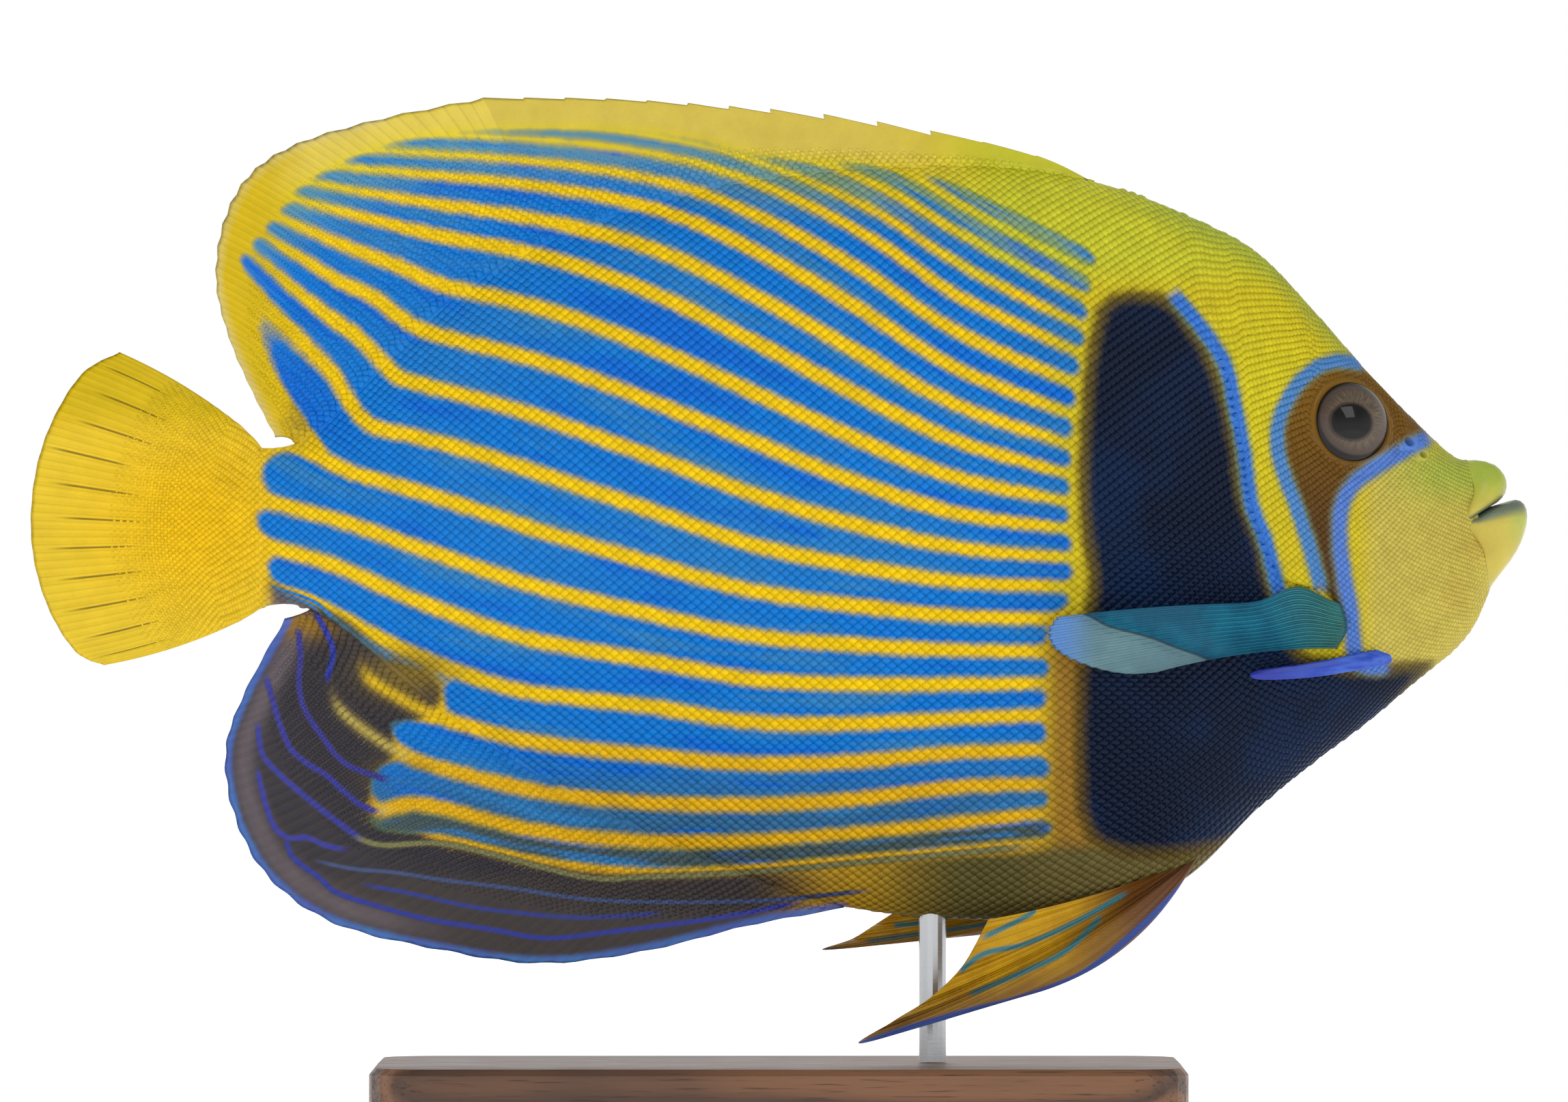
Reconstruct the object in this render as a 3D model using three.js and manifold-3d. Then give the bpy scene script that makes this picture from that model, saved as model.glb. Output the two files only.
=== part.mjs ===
// Emperor angelfish, a life-size display model on a small stand.
// Millimetres, +Z up. The snout points along +X and the right side faces -Y.
// The origin is the middle of the underside of the stand's base.
// Every point of the fish is written as x along the body and h above its middle line.

import * as THREE from 'three';
import Module from 'manifold-3d';

const wasm = await Module();
wasm.setup();

// Driving dimensions of the fish
const MIDLINE_HEIGHT = 135;
const PART_GAP = 0.3;
const RINGS_PER_STATION = 2.2;
const RING_POINTS = 28;

// Each station is one slanted slice through the body, from the root of the tail to the mouth:
// top and bottom are the midline points, width is half the breadth, level is the height of the
// broadest point, and ridge and keel say how sharp the upper and lower edges are.
const BODY_STATIONS = [
  { top: [-121.5, 19], bottom: [-121.5, -18.6], width: 3.2, level: 0, ridge: 0.9, keel: 0.9 },
  { top: [-113, 20.5], bottom: [-113, -18.2], width: 4.6, level: 0, ridge: 1.0, keel: 1.0 },
  { top: [-102, 28.5], bottom: [-102, -23.6], width: 7, level: 1, ridge: 1.2, keel: 1.2 },
  { top: [-86, 46], bottom: [-86, -37.2], width: 10.6, level: 2, ridge: 1.35, keel: 1.35 },
  { top: [-66, 61.5], bottom: [-66, -52], width: 14.6, level: 3, ridge: 1.45, keel: 1.4 },
  { top: [-42, 72.5], bottom: [-42, -66], width: 18.4, level: 4, ridge: 1.45, keel: 1.35 },
  { top: [-16, 80.2], bottom: [-16, -78.3], width: 21.6, level: 4, ridge: 1.4, keel: 1.25 },
  { top: [12, 84.2], bottom: [12, -88], width: 23.8, level: 4, ridge: 1.35, keel: 1.15 },
  { top: [40, 85.2], bottom: [42, -91.6], width: 24.8, level: 3, ridge: 1.3, keel: 1.05 },
  { top: [62, 83.8], bottom: [70, -90.2], width: 24.6, level: 2, ridge: 1.25, keel: 1.05 },
  { top: [80, 79.8], bottom: [94, -82.8], width: 23.4, level: 0, ridge: 1.2, keel: 1.1 },
  { top: [97, 72.9], bottom: [112, -65.8], width: 21.6, level: -2, ridge: 1.15, keel: 1.15 },
  { top: [112.4, 64.5], bottom: [126, -54.3], width: 19.6, level: -4, ridge: 1.1, keel: 1.15 },
  { top: [126.2, 50.1], bottom: [138, -45.3], width: 17, level: -5, ridge: 1.05, keel: 1.15 },
  { top: [139, 35.5], bottom: [149.6, -35.5], width: 14.3, level: -5, ridge: 1.0, keel: 1.1 },
  { top: [150, 24.3], bottom: [158.2, -28.5], width: 11.6, level: -2, ridge: 0.95, keel: 1.05 },
  { top: [157.5, 17.4], bottom: [163.2, -22.2], width: 9.2, level: 1, ridge: 0.9, keel: 1.0 },
  { top: [161.5, 16], bottom: [166.5, -14.5], width: 7.6, level: 3, ridge: 0.9, keel: 0.9 },
];

// Where the body is parted, by walls that reach past it on both sides
const CUT_REACH = 60;
const PEDUNCLE_START = -101;
const HEAD_REAR_EDGE = [
  [79, 100], [79.5, 81], [85, 69], [92.6, 54.5], [98.5, 46.5], [104, 38], [106.5, 27], [108.3, 17],
  [110, 6], [113.4, -4], [117.2, -11], [123, -13.6], [130.5, -13.2], [135, -17.5], [136.2, -24],
  [134.8, -30], [138.5, -33], [146, -32], [153.5, -33.2],
];
const GILL_COVER_FRONT_EDGE = [
  [127.5, -13.6], [125, -3], [122, 12], [118.5, 25], [114.5, 33], [109.5, 38.2], [105.5, 39.6],
];
const GILL_COVER_TOP_REAR_X = 103.2;
const GILL_COVER_RAISE = 0.9;
const GILL_COVER_DEPTH = 2.6;
const GILL_COVER_INNER_Y = 4;
const GILL_BED_HEIGHT = 5;

// Eyes, nostrils and mouth
// The eyeball is a flattened ball that looks along the skin's normal, sunk below the skin at its
// middle by sunk. At the skin it shows as an oval with the radii of the drawing's eye.
const EYE = { x: 133.8, h: 25.1, sunk: 4, across: 10.2, upright: 10.7, deep: 7.4 };
const ORBIT_RIM = { across: 9.2, upright: 9.7, thick: 0.9, flat: 0.75 };
const NOSTRILS = [{ x: 147.4, h: 20.4, radius: 1.3 }, { x: 150.6, h: 17.4, radius: 1.0 }];
const UPPER_LIP = {
  corner: { x: 160.4, y: 8.2, h: 3.2, reach: 1.5, rise: 1.3 },
  front: { x: 163.9, h: 10.7, reach: 6.6, rise: 5.6 },
  tilt: -0.1,
};
const LOWER_LIP = {
  corner: { x: 161.2, y: 8.2, h: -0.6, reach: 1.6, rise: 1.8 },
  front: { x: 168.3, h: -3.1, reach: 5.6, rise: 9.9 },
  tilt: 0.43,
};
const MOUTH_CAVITY = { x: 163, h: 3, radii: [7, 6, 5] };

// Cheek spine, from its root under the skin to its free tip
const CHEEK_SPINE = {
  path: [[146, 6.8, -28.8], [136, 13.6, -30.9], [123, 17.8, -33.1], [109.7, 20.6, -34.2]],
  rootRadius: 2.3,
  tipRadius: 0.45,
};

// Half the thickness of every fin membrane at its outer edge, and how far the edge of a membrane
// field falls back between two soft rays
const EDGE_HALF_THICKNESS = 0.27;
const FIELD_DROP = 0.4;

// Stand
const BASE = { length: 190, width: 112, thickness: 10, bevel: 1.5 };
const ROD = { x: 36, radius: 3.2 };

// A smooth value between station i and i + 1, from the four nearest stations
function smoothBetween(before, start, end, after, t) {
  const slopeStart = (end - before) / 2;
  const slopeEnd = (after - start) / 2;
  const a = 2 * start - 2 * end + slopeStart + slopeEnd;
  const b = -3 * start + 3 * end - 2 * slopeStart - slopeEnd;
  return ((a * t + b) * t + slopeStart) * t + start;
}

// One quantity of the body at a place s that runs from 0 at the tail to 1 at the mouth
function alongBody(s, quantity) {
  const last = BODY_STATIONS.length - 1;
  const place = Math.min(s * last, last - 1e-9);
  const i = Math.floor(place);
  const value = (k) => quantity(BODY_STATIONS[Math.max(0, Math.min(last, k))]);
  return smoothBetween(value(i - 1), value(i), value(i + 1), value(i + 2), place - i);
}

// The body's surface at place s and angle turn: 0 is the right side, a quarter turn is the back
function bodyPoint(s, turn) {
  const top = [alongBody(s, (k) => k.top[0]), alongBody(s, (k) => k.top[1])];
  const bottom = [alongBody(s, (k) => k.bottom[0]), alongBody(s, (k) => k.bottom[1])];
  const level = alongBody(s, (k) => k.level);
  const share = (level - bottom[1]) / (top[1] - bottom[1]);
  const centre = [bottom[0] + (top[0] - bottom[0]) * share, level];
  const goal = Math.sin(turn) >= 0 ? top : bottom;
  const sharpness = alongBody(s, (k) => (Math.sin(turn) >= 0 ? k.ridge : k.keel));
  const rise = Math.abs(Math.sin(turn));
  const out = Math.cos(turn);
  const breadth = alongBody(s, (k) => k.width) * Math.sign(out) * Math.abs(out) ** sharpness;
  return [
    centre[0] + (goal[0] - centre[0]) * rise,
    -breadth,
    centre[1] + (goal[1] - centre[1]) * rise,
  ];
}

// Height of the back or the belly at a given x
function midlineHeight(x, edge) {
  let low = 0;
  let high = 1;
  for (let step = 0; step < 40; step += 1) {
    const middle = (low + high) / 2;
    if (alongBody(middle, (k) => k[edge][0]) < x) {
      low = middle;
    } else {
      high = middle;
    }
  }
  return alongBody(low, (k) => k[edge][1]);
}

// The place on the body's side, as s and turn, whose side view is nearest to x and h
function skinPlace(x, h) {
  const distance = (s, turn) => {
    const point = bodyPoint(s, turn);
    return Math.hypot(point[0] - x, point[2] - h);
  };
  const moves = [[1, 0], [-1, 0], [0, 1], [0, -1], [1, 1], [-1, -1], [1, -1], [-1, 1]];
  let [s, turn, stepS, stepTurn] = [0.5, 0, 0.25, Math.PI / 4];
  for (let round = 0; round < 60; round += 1) {
    let better = false;
    for (const [moveS, moveTurn] of moves) {
      const nextS = Math.min(1, Math.max(0, s + moveS * stepS));
      const nextTurn = Math.min(Math.PI / 2, Math.max(-Math.PI / 2, turn + moveTurn * stepTurn));
      if (distance(nextS, nextTurn) < distance(s, turn)) {
        [s, turn, better] = [nextS, nextTurn, true];
      }
    }
    if (!better) {
      stepS /= 2;
      stepTurn /= 2;
    }
  }
  return [s, turn];
}

// Half the body's breadth at a point of its side view
function sideBreadth(x, h) {
  return -bodyPoint(...skinPlace(x, h))[1];
}

// The outward direction of the skin at a point of the side view, on the given side
function skinNormal(x, h, side) {
  const reach = 2;
  const slopeX = (sideBreadth(x + reach, h) - sideBreadth(x - reach, h)) / (2 * reach);
  const slopeH = (sideBreadth(x, h + reach) - sideBreadth(x, h - reach)) / (2 * reach);
  return new THREE.Vector3(-slopeX, side, -slopeH).normalize();
}

// A closed solid from points and triangles, turned so that its faces point out
function closedSolid(points, triangles) {
  let volume = 0;
  for (const [a, b, c] of triangles) {
    const [p, q, r] = [points[a], points[b], points[c]];
    volume += p[0] * (q[1] * r[2] - q[2] * r[1]);
    volume += p[1] * (q[2] * r[0] - q[0] * r[2]);
    volume += p[2] * (q[0] * r[1] - q[1] * r[0]);
  }
  const outward = volume > 0 ? triangles : triangles.map(([a, b, c]) => [a, c, b]);
  return new wasm.Manifold(new wasm.Mesh({
    numProp: 3,
    vertProperties: new Float32Array(points.flat()),
    triVerts: new Uint32Array(outward.flat()),
  }));
}

// A skin over rings of equal size, closed by a fan on its first and its last ring
function loftRings(rings) {
  const size = rings[0].length;
  const points = rings.flat();
  const triangles = [];
  for (let i = 0; i + 1 < rings.length; i += 1) {
    for (let j = 0; j < size; j += 1) {
      const next = (j + 1) % size;
      const [a, b] = [i * size + j, i * size + next];
      const [c, d] = [a + size, b + size];
      triangles.push([a, b, d], [a, d, c]);
    }
  }
  const middleOf = (ring) => [0, 1, 2].map((k) => ring.reduce((sum, p) => sum + p[k], 0) / size);
  const lastRing = (rings.length - 1) * size;
  const firstMiddle = points.push(middleOf(rings[0])) - 1;
  const lastMiddle = points.push(middleOf(rings[rings.length - 1])) - 1;
  for (let j = 0; j < size; j += 1) {
    const next = (j + 1) % size;
    triangles.push([next, j, firstMiddle], [lastRing + j, lastRing + next, lastMiddle]);
  }
  return closedSolid(points, triangles);
}

// The whole body, with its surface moved outwards by grow
function bodySolid(grow) {
  const ringCount = Math.round((BODY_STATIONS.length - 1) * RINGS_PER_STATION);
  const step = 0.001;
  const turnStep = 0.02;
  const rings = [];
  for (let i = 0; i <= ringCount; i += 1) {
    const s = i / ringCount;
    const ring = [];
    for (let j = 0; j < RING_POINTS; j += 1) {
      const turn = (j / RING_POINTS) * 2 * Math.PI;
      const point = new THREE.Vector3(...bodyPoint(s, turn));
      const ahead = new THREE.Vector3(...bodyPoint(Math.min(1, s + step), turn));
      const behind = new THREE.Vector3(...bodyPoint(Math.max(0, s - step), turn));
      const above = new THREE.Vector3(...bodyPoint(s, turn + turnStep));
      const below = new THREE.Vector3(...bodyPoint(s, turn - turnStep));
      const normal = ahead.sub(behind).cross(above.sub(below)).normalize();
      if (i === 0) {
        point.x -= grow;
      } else if (i === ringCount) {
        point.x += grow;
      }
      ring.push(point.addScaledVector(normal, grow).toArray());
    }
    rings.push(ring);
  }
  return loftRings(rings);
}

// Only the largest closed piece of a solid
function largestPiece(solid) {
  const pieces = solid.decompose();
  pieces.sort((a, b) => b.volume() - a.volume());
  return pieces[0];
}

// A wall that stands across the fish over an outline of its side view, from y = near to far
function sideViewPrism(outline, near, far) {
  const rings = [near, far].map((y) => outline.map(([x, h]) => [x, y, h]));
  const size = outline.length;
  const flat = THREE.ShapeUtils.triangulateShape(outline.map(([x, h]) => new THREE.Vector2(x, h)), []);
  const triangles = [];
  for (const [a, b, c] of flat) {
    triangles.push([a, b, c], [a + size, c + size, b + size]);
  }
  for (let j = 0; j < size; j += 1) {
    const next = (j + 1) % size;
    triangles.push([next, j, j + size], [next, j + size, next + size]);
  }
  return closedSolid(rings.flat(), triangles);
}

// An outline moved outwards by grow
function grownOutline(outline, grow) {
  const size = outline.length;
  const turning = outline.reduce((sum, [x, h], i) => {
    const [nextX, nextH] = outline[(i + 1) % size];
    return sum + x * nextH - nextX * h;
  }, 0);
  const side = Math.sign(turning);
  return outline.map(([x, h], i) => {
    const before = outline[(i + size - 1) % size];
    const after = outline[(i + 1) % size];
    const first = new THREE.Vector2(x - before[0], h - before[1]).normalize();
    const second = new THREE.Vector2(after[0] - x, after[1] - h).normalize();
    const outward = new THREE.Vector2(first.y + second.y, -first.x - second.x);
    outward.multiplyScalar(1 / outward.length());
    const stretch = 1 / Math.max(0.5, outward.x * second.y - outward.y * second.x);
    return [x + outward.x * side * grow * stretch, h + outward.y * side * grow * stretch];
  });
}

// A smooth line through a few points of the side view
function smoothLine(points, count) {
  const line = new THREE.SplineCurve(points.map(([x, h]) => new THREE.Vector2(x, h)));
  return line.getSpacedPoints(count - 1).map((p) => [p.x, p.y]);
}

function ellipsoid(centre, radii, around, levels) {
  const rings = [];
  for (let i = 1; i < levels; i += 1) {
    const polar = (i / levels) * Math.PI;
    const ring = [];
    for (let j = 0; j < around; j += 1) {
      const turn = (j / around) * 2 * Math.PI;
      ring.push([
        centre[0] + radii[0] * Math.sin(polar) * Math.cos(turn),
        centre[1] - radii[1] * Math.cos(polar),
        centre[2] + radii[2] * Math.sin(polar) * Math.sin(turn),
      ]);
    }
    rings.push(ring);
  }
  const solid = roundEnds(rings, [
    [centre[0], centre[1] - radii[1], centre[2]],
    [centre[0], centre[1] + radii[1], centre[2]],
  ]);
  return solid;
}

// A skin over rings that ends in two given points
function roundEnds(rings, ends) {
  const size = rings[0].length;
  const points = rings.flat();
  const triangles = [];
  for (let i = 0; i + 1 < rings.length; i += 1) {
    for (let j = 0; j < size; j += 1) {
      const next = (j + 1) % size;
      const [a, b] = [i * size + j, i * size + next];
      triangles.push([a, b, b + size], [a, b + size, a + size]);
    }
  }
  const first = points.push(ends[0]) - 1;
  const last = points.push(ends[1]) - 1;
  const lastRing = (rings.length - 1) * size;
  for (let j = 0; j < size; j += 1) {
    const next = (j + 1) % size;
    triangles.push([next, j, first], [lastRing + j, lastRing + next, last]);
  }
  return closedSolid(points, triangles);
}

// A lip: a tube of oval section bent round the front of the mouth, thin at both corners
function lipSolid(lip, grow) {
  const steps = 18;
  const around = 12;
  const rings = [];
  for (let i = 0; i <= steps; i += 1) {
    const turn = (i / steps) * Math.PI;
    const forward = Math.sin(turn);
    const blend = forward ** 1.3;
    const centreX = lip.corner.x + (lip.front.x - lip.corner.x) * forward;
    const centreY = -lip.corner.y * Math.cos(turn);
    const centreH = lip.corner.h + (lip.front.h - lip.corner.h) * forward ** 1.5;
    const reach = lip.corner.reach + (lip.front.reach - lip.corner.reach) * blend + grow;
    const rise = lip.corner.rise + (lip.front.rise - lip.corner.rise) * blend + grow;
    const outX = forward;
    const outY = -Math.cos(turn);
    const length = Math.hypot(outX, outY);
    const ring = [];
    for (let j = 0; j < around; j += 1) {
      const angle = (j / around) * 2 * Math.PI;
      const up = rise * Math.sin(angle);
      const out = reach * Math.cos(angle) + up * lip.tilt;
      ring.push([
        centreX + (outX / length) * out,
        centreY + (outY / length) * out * 0.55,
        centreH + up,
      ]);
    }
    rings.push(ring);
  }
  return loftRings(rings);
}

// A round spine along a bent path, from its root radius to its tip radius
function spineSolid(spine, side) {
  const path = new THREE.CatmullRomCurve3(spine.path.map(([x, y, h]) => new THREE.Vector3(x, y * side, h)));
  const steps = 10;
  const around = 8;
  const rings = [];
  for (let i = 0; i <= steps; i += 1) {
    const t = i / steps;
    const centre = path.getPointAt(t);
    const along = path.getTangentAt(t);
    const across = new THREE.Vector3(0, side, 0).cross(along).normalize();
    const out = along.clone().cross(across).normalize();
    const radius = spine.rootRadius + (spine.tipRadius - spine.rootRadius) * t ** 1.4;
    const ring = [];
    for (let j = 0; j < around; j += 1) {
      const angle = (j / around) * 2 * Math.PI;
      const point = centre.clone();
      point.addScaledVector(across, radius * Math.cos(angle));
      point.addScaledVector(out, radius * 0.75 * Math.sin(angle));
      ring.push(point.toArray());
    }
    rings.push(ring);
  }
  return loftRings(rings);
}

// The point of a line at a given x, where x falls all the way along the line
function pointAtX(line, x) {
  let low = 0;
  let high = 1;
  for (let step = 0; step < 40; step += 1) {
    const middle = (low + high) / 2;
    if (line.getPoint(middle).x > x) {
      low = middle;
    } else {
      high = middle;
    }
  }
  return line.getPoint(low);
}

// A fin: a membrane between a root line and an outer edge, with its rays as ridges on both faces.
// A column of points runs along each ray and along the middle of each membrane field. With
// notched fins one more column follows close behind each spine, where the membrane is lower.
function finSolid(fin) {
  const rootLine = new THREE.SplineCurve(fin.root.map(([x, h]) => new THREE.Vector2(x, h)));
  const edgeLine = new THREE.SplineCurve(fin.edge.map(([x, h]) => new THREE.Vector2(x, h)));
  const rows = [0, 0.1, 0.25, 0.45, 0.7, 1];
  const fields = fin.rays - 1;
  const columns = [];
  for (let ray = 0; ray < fin.rays; ray += 1) {
    columns.push({ u: ray / fields, ridge: 1, drop: 0 });
    if (ray < fields && fin.notch) {
      columns.push({ u: (ray + 0.04) / fields, ridge: 0, drop: fin.notch(ray) });
    }
    if (ray < fields) {
      const drop = fin.notch ? fin.notch(ray) / 2 : FIELD_DROP;
      columns.push({ u: (ray + 0.55) / fields, ridge: 0, drop });
    }
  }
  const faces = [-1, 1].map((face) => columns.map((column) => {
    const root = rootLine.getPoint(column.u);
    const edge = fin.tipX ? pointAtX(edgeLine, fin.tipX(column.u)) : edgeLine.getPoint(column.u);
    const ray = edge.clone().sub(root);
    const length = ray.length();
    edge.addScaledVector(ray, -column.drop / length);
    const bow = fin.bow ? fin.bow(column.u) : 0;
    const middle = root.clone().add(edge).multiplyScalar(0.5);
    middle.x += (ray.y / length) * bow * 2;
    middle.y -= (ray.x / length) * bow * 2;
    return rows.map((v) => {
      const x = root.x * (1 - v) ** 2 + middle.x * 2 * v * (1 - v) + edge.x * v ** 2;
      const h = root.y * (1 - v) ** 2 + middle.y * 2 * v * (1 - v) + edge.y * v ** 2;
      const skin = EDGE_HALF_THICKNESS + (fin.rootHalf - EDGE_HALF_THICKNESS) * (1 - v) ** 2;
      const half = skin + column.ridge * fin.ridge * (1 - 0.55 * v);
      return [x, fin.drift(column.u, v) + face * half, h];
    });
  }));
  const columnCount = columns.length;
  const rowCount = rows.length;
  const index = (face, column, row) => (face * columnCount + column) * rowCount + row;
  const triangles = [];
  for (let i = 0; i + 1 < columnCount; i += 1) {
    for (let j = 0; j + 1 < rowCount; j += 1) {
      const near = [index(0, i, j), index(0, i + 1, j), index(0, i + 1, j + 1), index(0, i, j + 1)];
      const far = [index(1, i, j), index(1, i + 1, j), index(1, i + 1, j + 1), index(1, i, j + 1)];
      triangles.push([near[0], near[1], near[2]], [near[0], near[2], near[3]]);
      triangles.push([far[0], far[2], far[1]], [far[0], far[3], far[2]]);
    }
  }
  const rim = [];
  for (let i = 0; i < columnCount; i += 1) {
    rim.push([i, 0]);
  }
  for (let j = 1; j < rowCount; j += 1) {
    rim.push([columnCount - 1, j]);
  }
  for (let i = columnCount - 2; i >= 0; i -= 1) {
    rim.push([i, rowCount - 1]);
  }
  for (let j = rowCount - 2; j > 0; j -= 1) {
    rim.push([0, j]);
  }
  rim.forEach(([i, j], k) => {
    const [nextI, nextJ] = rim[(k + 1) % rim.length];
    const [a, b] = [index(0, i, j), index(0, nextI, nextJ)];
    const [c, d] = [index(1, i, j), index(1, nextI, nextJ)];
    triangles.push([b, a, c], [b, c, d]);
  });
  return closedSolid(faces.flat(2), triangles);
}

// The same point moved inwards from the back or the belly, where a fin is rooted
function rootOn(edge, x, depth) {
  return [x, midlineHeight(x, edge) + (edge === 'top' ? -depth : depth)];
}

// The fins. Root and edge lines run from the front of the fin to its rear, or from top to bottom.
const ROOT_DEPTH = 6;
const DORSAL_SPLIT = { root: -54.4, edge: -69.2, gap: 0.4, bow: 1.2 };

// The first six spines stand further apart than the rest
const SPINE_COUNT = 14;
const FRONT_SPINES = 6;
const FRONT_SPINE_SPACING = 12.5;
const FIRST_SPINE_X = 72.9;

function spineTipX(number) {
  const rearSpacing = (FIRST_SPINE_X - FRONT_SPINES * FRONT_SPINE_SPACING - DORSAL_SPLIT.edge)
    / (SPINE_COUNT - 1 - FRONT_SPINES);
  const frontPart = FRONT_SPINE_SPACING * Math.min(number, FRONT_SPINES);
  return FIRST_SPINE_X - frontPart - rearSpacing * Math.max(0, number - FRONT_SPINES);
}

const SPINY_DORSAL = {
  rays: SPINE_COUNT,
  root: [73, 55, 30, 5, -20, -40, DORSAL_SPLIT.root].map((x) => rootOn('top', x, ROOT_DEPTH)),
  tipX: (u) => spineTipX(u * (SPINE_COUNT - 1)),
  edge: [
    [FIRST_SPINE_X, 81.9], [60.4, 87.4], [35.4, 93.3], [10.4, 97.2], [-12, 99.1], [-40.5, 100.8],
    [DORSAL_SPLIT.edge, 101],
  ],
  rootHalf: 2.4,
  ridge: 0.5,
  notch: (spine) => (spine < 3 ? 0.3 : Math.max(0.4, 1.5 - Math.max(0, spine - 5) * 0.3)),
  bow: (u) => DORSAL_SPLIT.bow * u,
  drift: (u, v) => 0.6 * Math.sin(5 * u) * v,
};

const SOFT_DORSAL = {
  rays: 21,
  root: [
    ...[DORSAL_SPLIT.root - DORSAL_SPLIT.gap, -72, -88, -102].map((x) => rootOn('top', x, ROOT_DEPTH)),
    [-112.2, 18.6],
  ],
  edge: [
    [DORSAL_SPLIT.edge - DORSAL_SPLIT.gap, 101], [-93, 96.3], [-113, 90.4], [-124.5, 82.8],
    [-130.5, 71.5], [-132.1, 58], [-129, 44.8], [-123.6, 32.3], [-118, 21.4],
  ],
  rootHalf: 2.4,
  ridge: 0.3,
  bow: (u) => DORSAL_SPLIT.bow + 3.5 * Math.sin(Math.PI * Math.min(1, u * 1.2)) * (1 - u),
  drift: (u, v) => 0.6 * Math.sin(5) * v * (1 - u) + 2.6 * Math.sin(3.4 * u) * v ** 2,
};

const ANAL = {
  rays: 23,
  root: [...[18, -4, -28, -52, -74, -92].map((x) => rootOn('bottom', x, ROOT_DEPTH)), [-106.5, -17]],
  edge: [
    [14.5, -89.2], [-7.3, -93.1], [-31.3, -99], [-56.1, -101.9], [-80, -98.6], [-104, -92.6],
    [-119.4, -82], [-127.6, -67.6], [-129.8, -52.2], [-125.4, -38.6], [-115.8, -21],
  ],
  rootHalf: 2.4,
  ridge: 0.3,
  bow: (u) => -3 * Math.sin(Math.PI * u) - 0.5,
  drift: (u, v) => -2.4 * Math.sin(3.2 * u) * v ** 2,
};

const CAUDAL = {
  rays: 17,
  root: [[-118.6, 17.6], [-118.2, 9], [-118, 0], [-118.2, -9], [-118.6, -17.6]],
  edge: [
    [-154.6, 41.4], [-163, 36.8], [-169.6, 27], [-173.8, 15.6], [-175.4, 3], [-174.4, -8.6],
    [-170.6, -20], [-164.6, -29], [-158, -32],
  ],
  rootHalf: 1.9,
  ridge: 0.35,
  bow: (u) => 1.9 * Math.cos(Math.PI * u) ** 3,
  drift: (u, v) => 3.2 * v ** 2 * (0.4 + 0.6 * Math.cos(2.4 * u)),
};

// The pectoral fin stands out from the side and curls back along it
const PECTORAL = {
  rays: 17,
  root: [[128.2, -15.2], [131.2, -21.6], [129.4, -28]],
  edge: [
    [64.4, -20.6], [62.5, -23.8], [63.4, -27.2], [67.5, -30.2], [74, -32.6], [81, -33.8], [88, -33.4],
  ],
  rootHalf: 1.7,
  ridge: 0.3,
  bow: () => 1.6,
  drift: (u, v) => 13 + 21 * Math.sin((Math.PI / 2) * Math.min(1, v * 1.25)) - 3 * u - 2.5 * v ** 3,
};

// The right pelvic fin is spread and lowered, the left one is folded up along the belly
const RIGHT_PELVIC = {
  rays: 6,
  root: [[98, -76.5], [94.5, -78.6], [88.5, -80.5]],
  edge: [[54.3, -109.8], [19.9, -120], [26.5, -115], [35.4, -109.4], [43, -101.8], [48.9, -91.2]],
  rootHalf: 1.7,
  ridge: 0.45,
  bow: (u) => -5.6 * (1 - u) ** 2 - 1,
  drift: (u, v) => 4 + 2 * u + 11 * v - 4 * u * v,
};
const LEFT_PELVIC = {
  ...RIGHT_PELVIC,
  root: [[97.5, -78], [93.5, -78], [89, -78]],
  edge: [[38, -96.2], [11, -99], [17.5, -96.2], [23.5, -92.4], [31, -88], [42, -84.5]],
  bow: (u) => -3 * (1 - u) ** 2 - 1,
};

// A side fin: the sheet set on its side of the body, -1 for right and 1 for left
function sideFin(fin, side) {
  return finSolid({ ...fin, drift: (u, v) => side * fin.drift(u, v) });
}

// The body and its cuts
const body = bodySolid(0);
const bodyWithGap = bodySolid(PART_GAP);

const headEdge = smoothLine(HEAD_REAR_EDGE.slice(1), 34);
const headOutline = [[79, 110], ...headEdge, [157, -45], [210, -45], [210, 110]];
const headRegion = sideViewPrism(headOutline, -CUT_REACH, CUT_REACH);
const headRegionWithGap = sideViewPrism(grownOutline(headOutline, PART_GAP), -CUT_REACH, CUT_REACH);
const peduncleOutline = [
  [-140, -CUT_REACH], [PEDUNCLE_START, -CUT_REACH], [PEDUNCLE_START, CUT_REACH], [-140, CUT_REACH],
];
const peduncleRegion = sideViewPrism(peduncleOutline, -CUT_REACH, CUT_REACH);
const peduncleRegionWithGap = peduncleRegion.translate([PART_GAP, 0, 0]);

const [gillFootX, gillFootH] = GILL_COVER_FRONT_EDGE[0];
const gillRear = headEdge.filter(
  ([x, h]) => x > GILL_COVER_TOP_REAR_X && x < gillFootX && h > gillFootH - 0.4,
);
const gillOutline = [...gillRear, ...smoothLine(GILL_COVER_FRONT_EDGE, 10).slice(0, -1)];
const gillShell = bodySolid(GILL_COVER_RAISE).subtract(bodySolid(-GILL_COVER_DEPTH));
const gillBed = bodySolid(GILL_BED_HEIGHT).subtract(bodySolid(-GILL_COVER_DEPTH - PART_GAP));

function gillCover(side) {
  const region = sideViewPrism(gillOutline, side * GILL_COVER_INNER_Y, side * CUT_REACH);
  return largestPiece(gillShell.intersect(region).intersect(headRegion));
}

function gillCoverBed(side) {
  const outline = grownOutline(gillOutline, PART_GAP);
  return gillBed.intersect(sideViewPrism(outline, side * GILL_COVER_INNER_Y, side * CUT_REACH));
}

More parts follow.
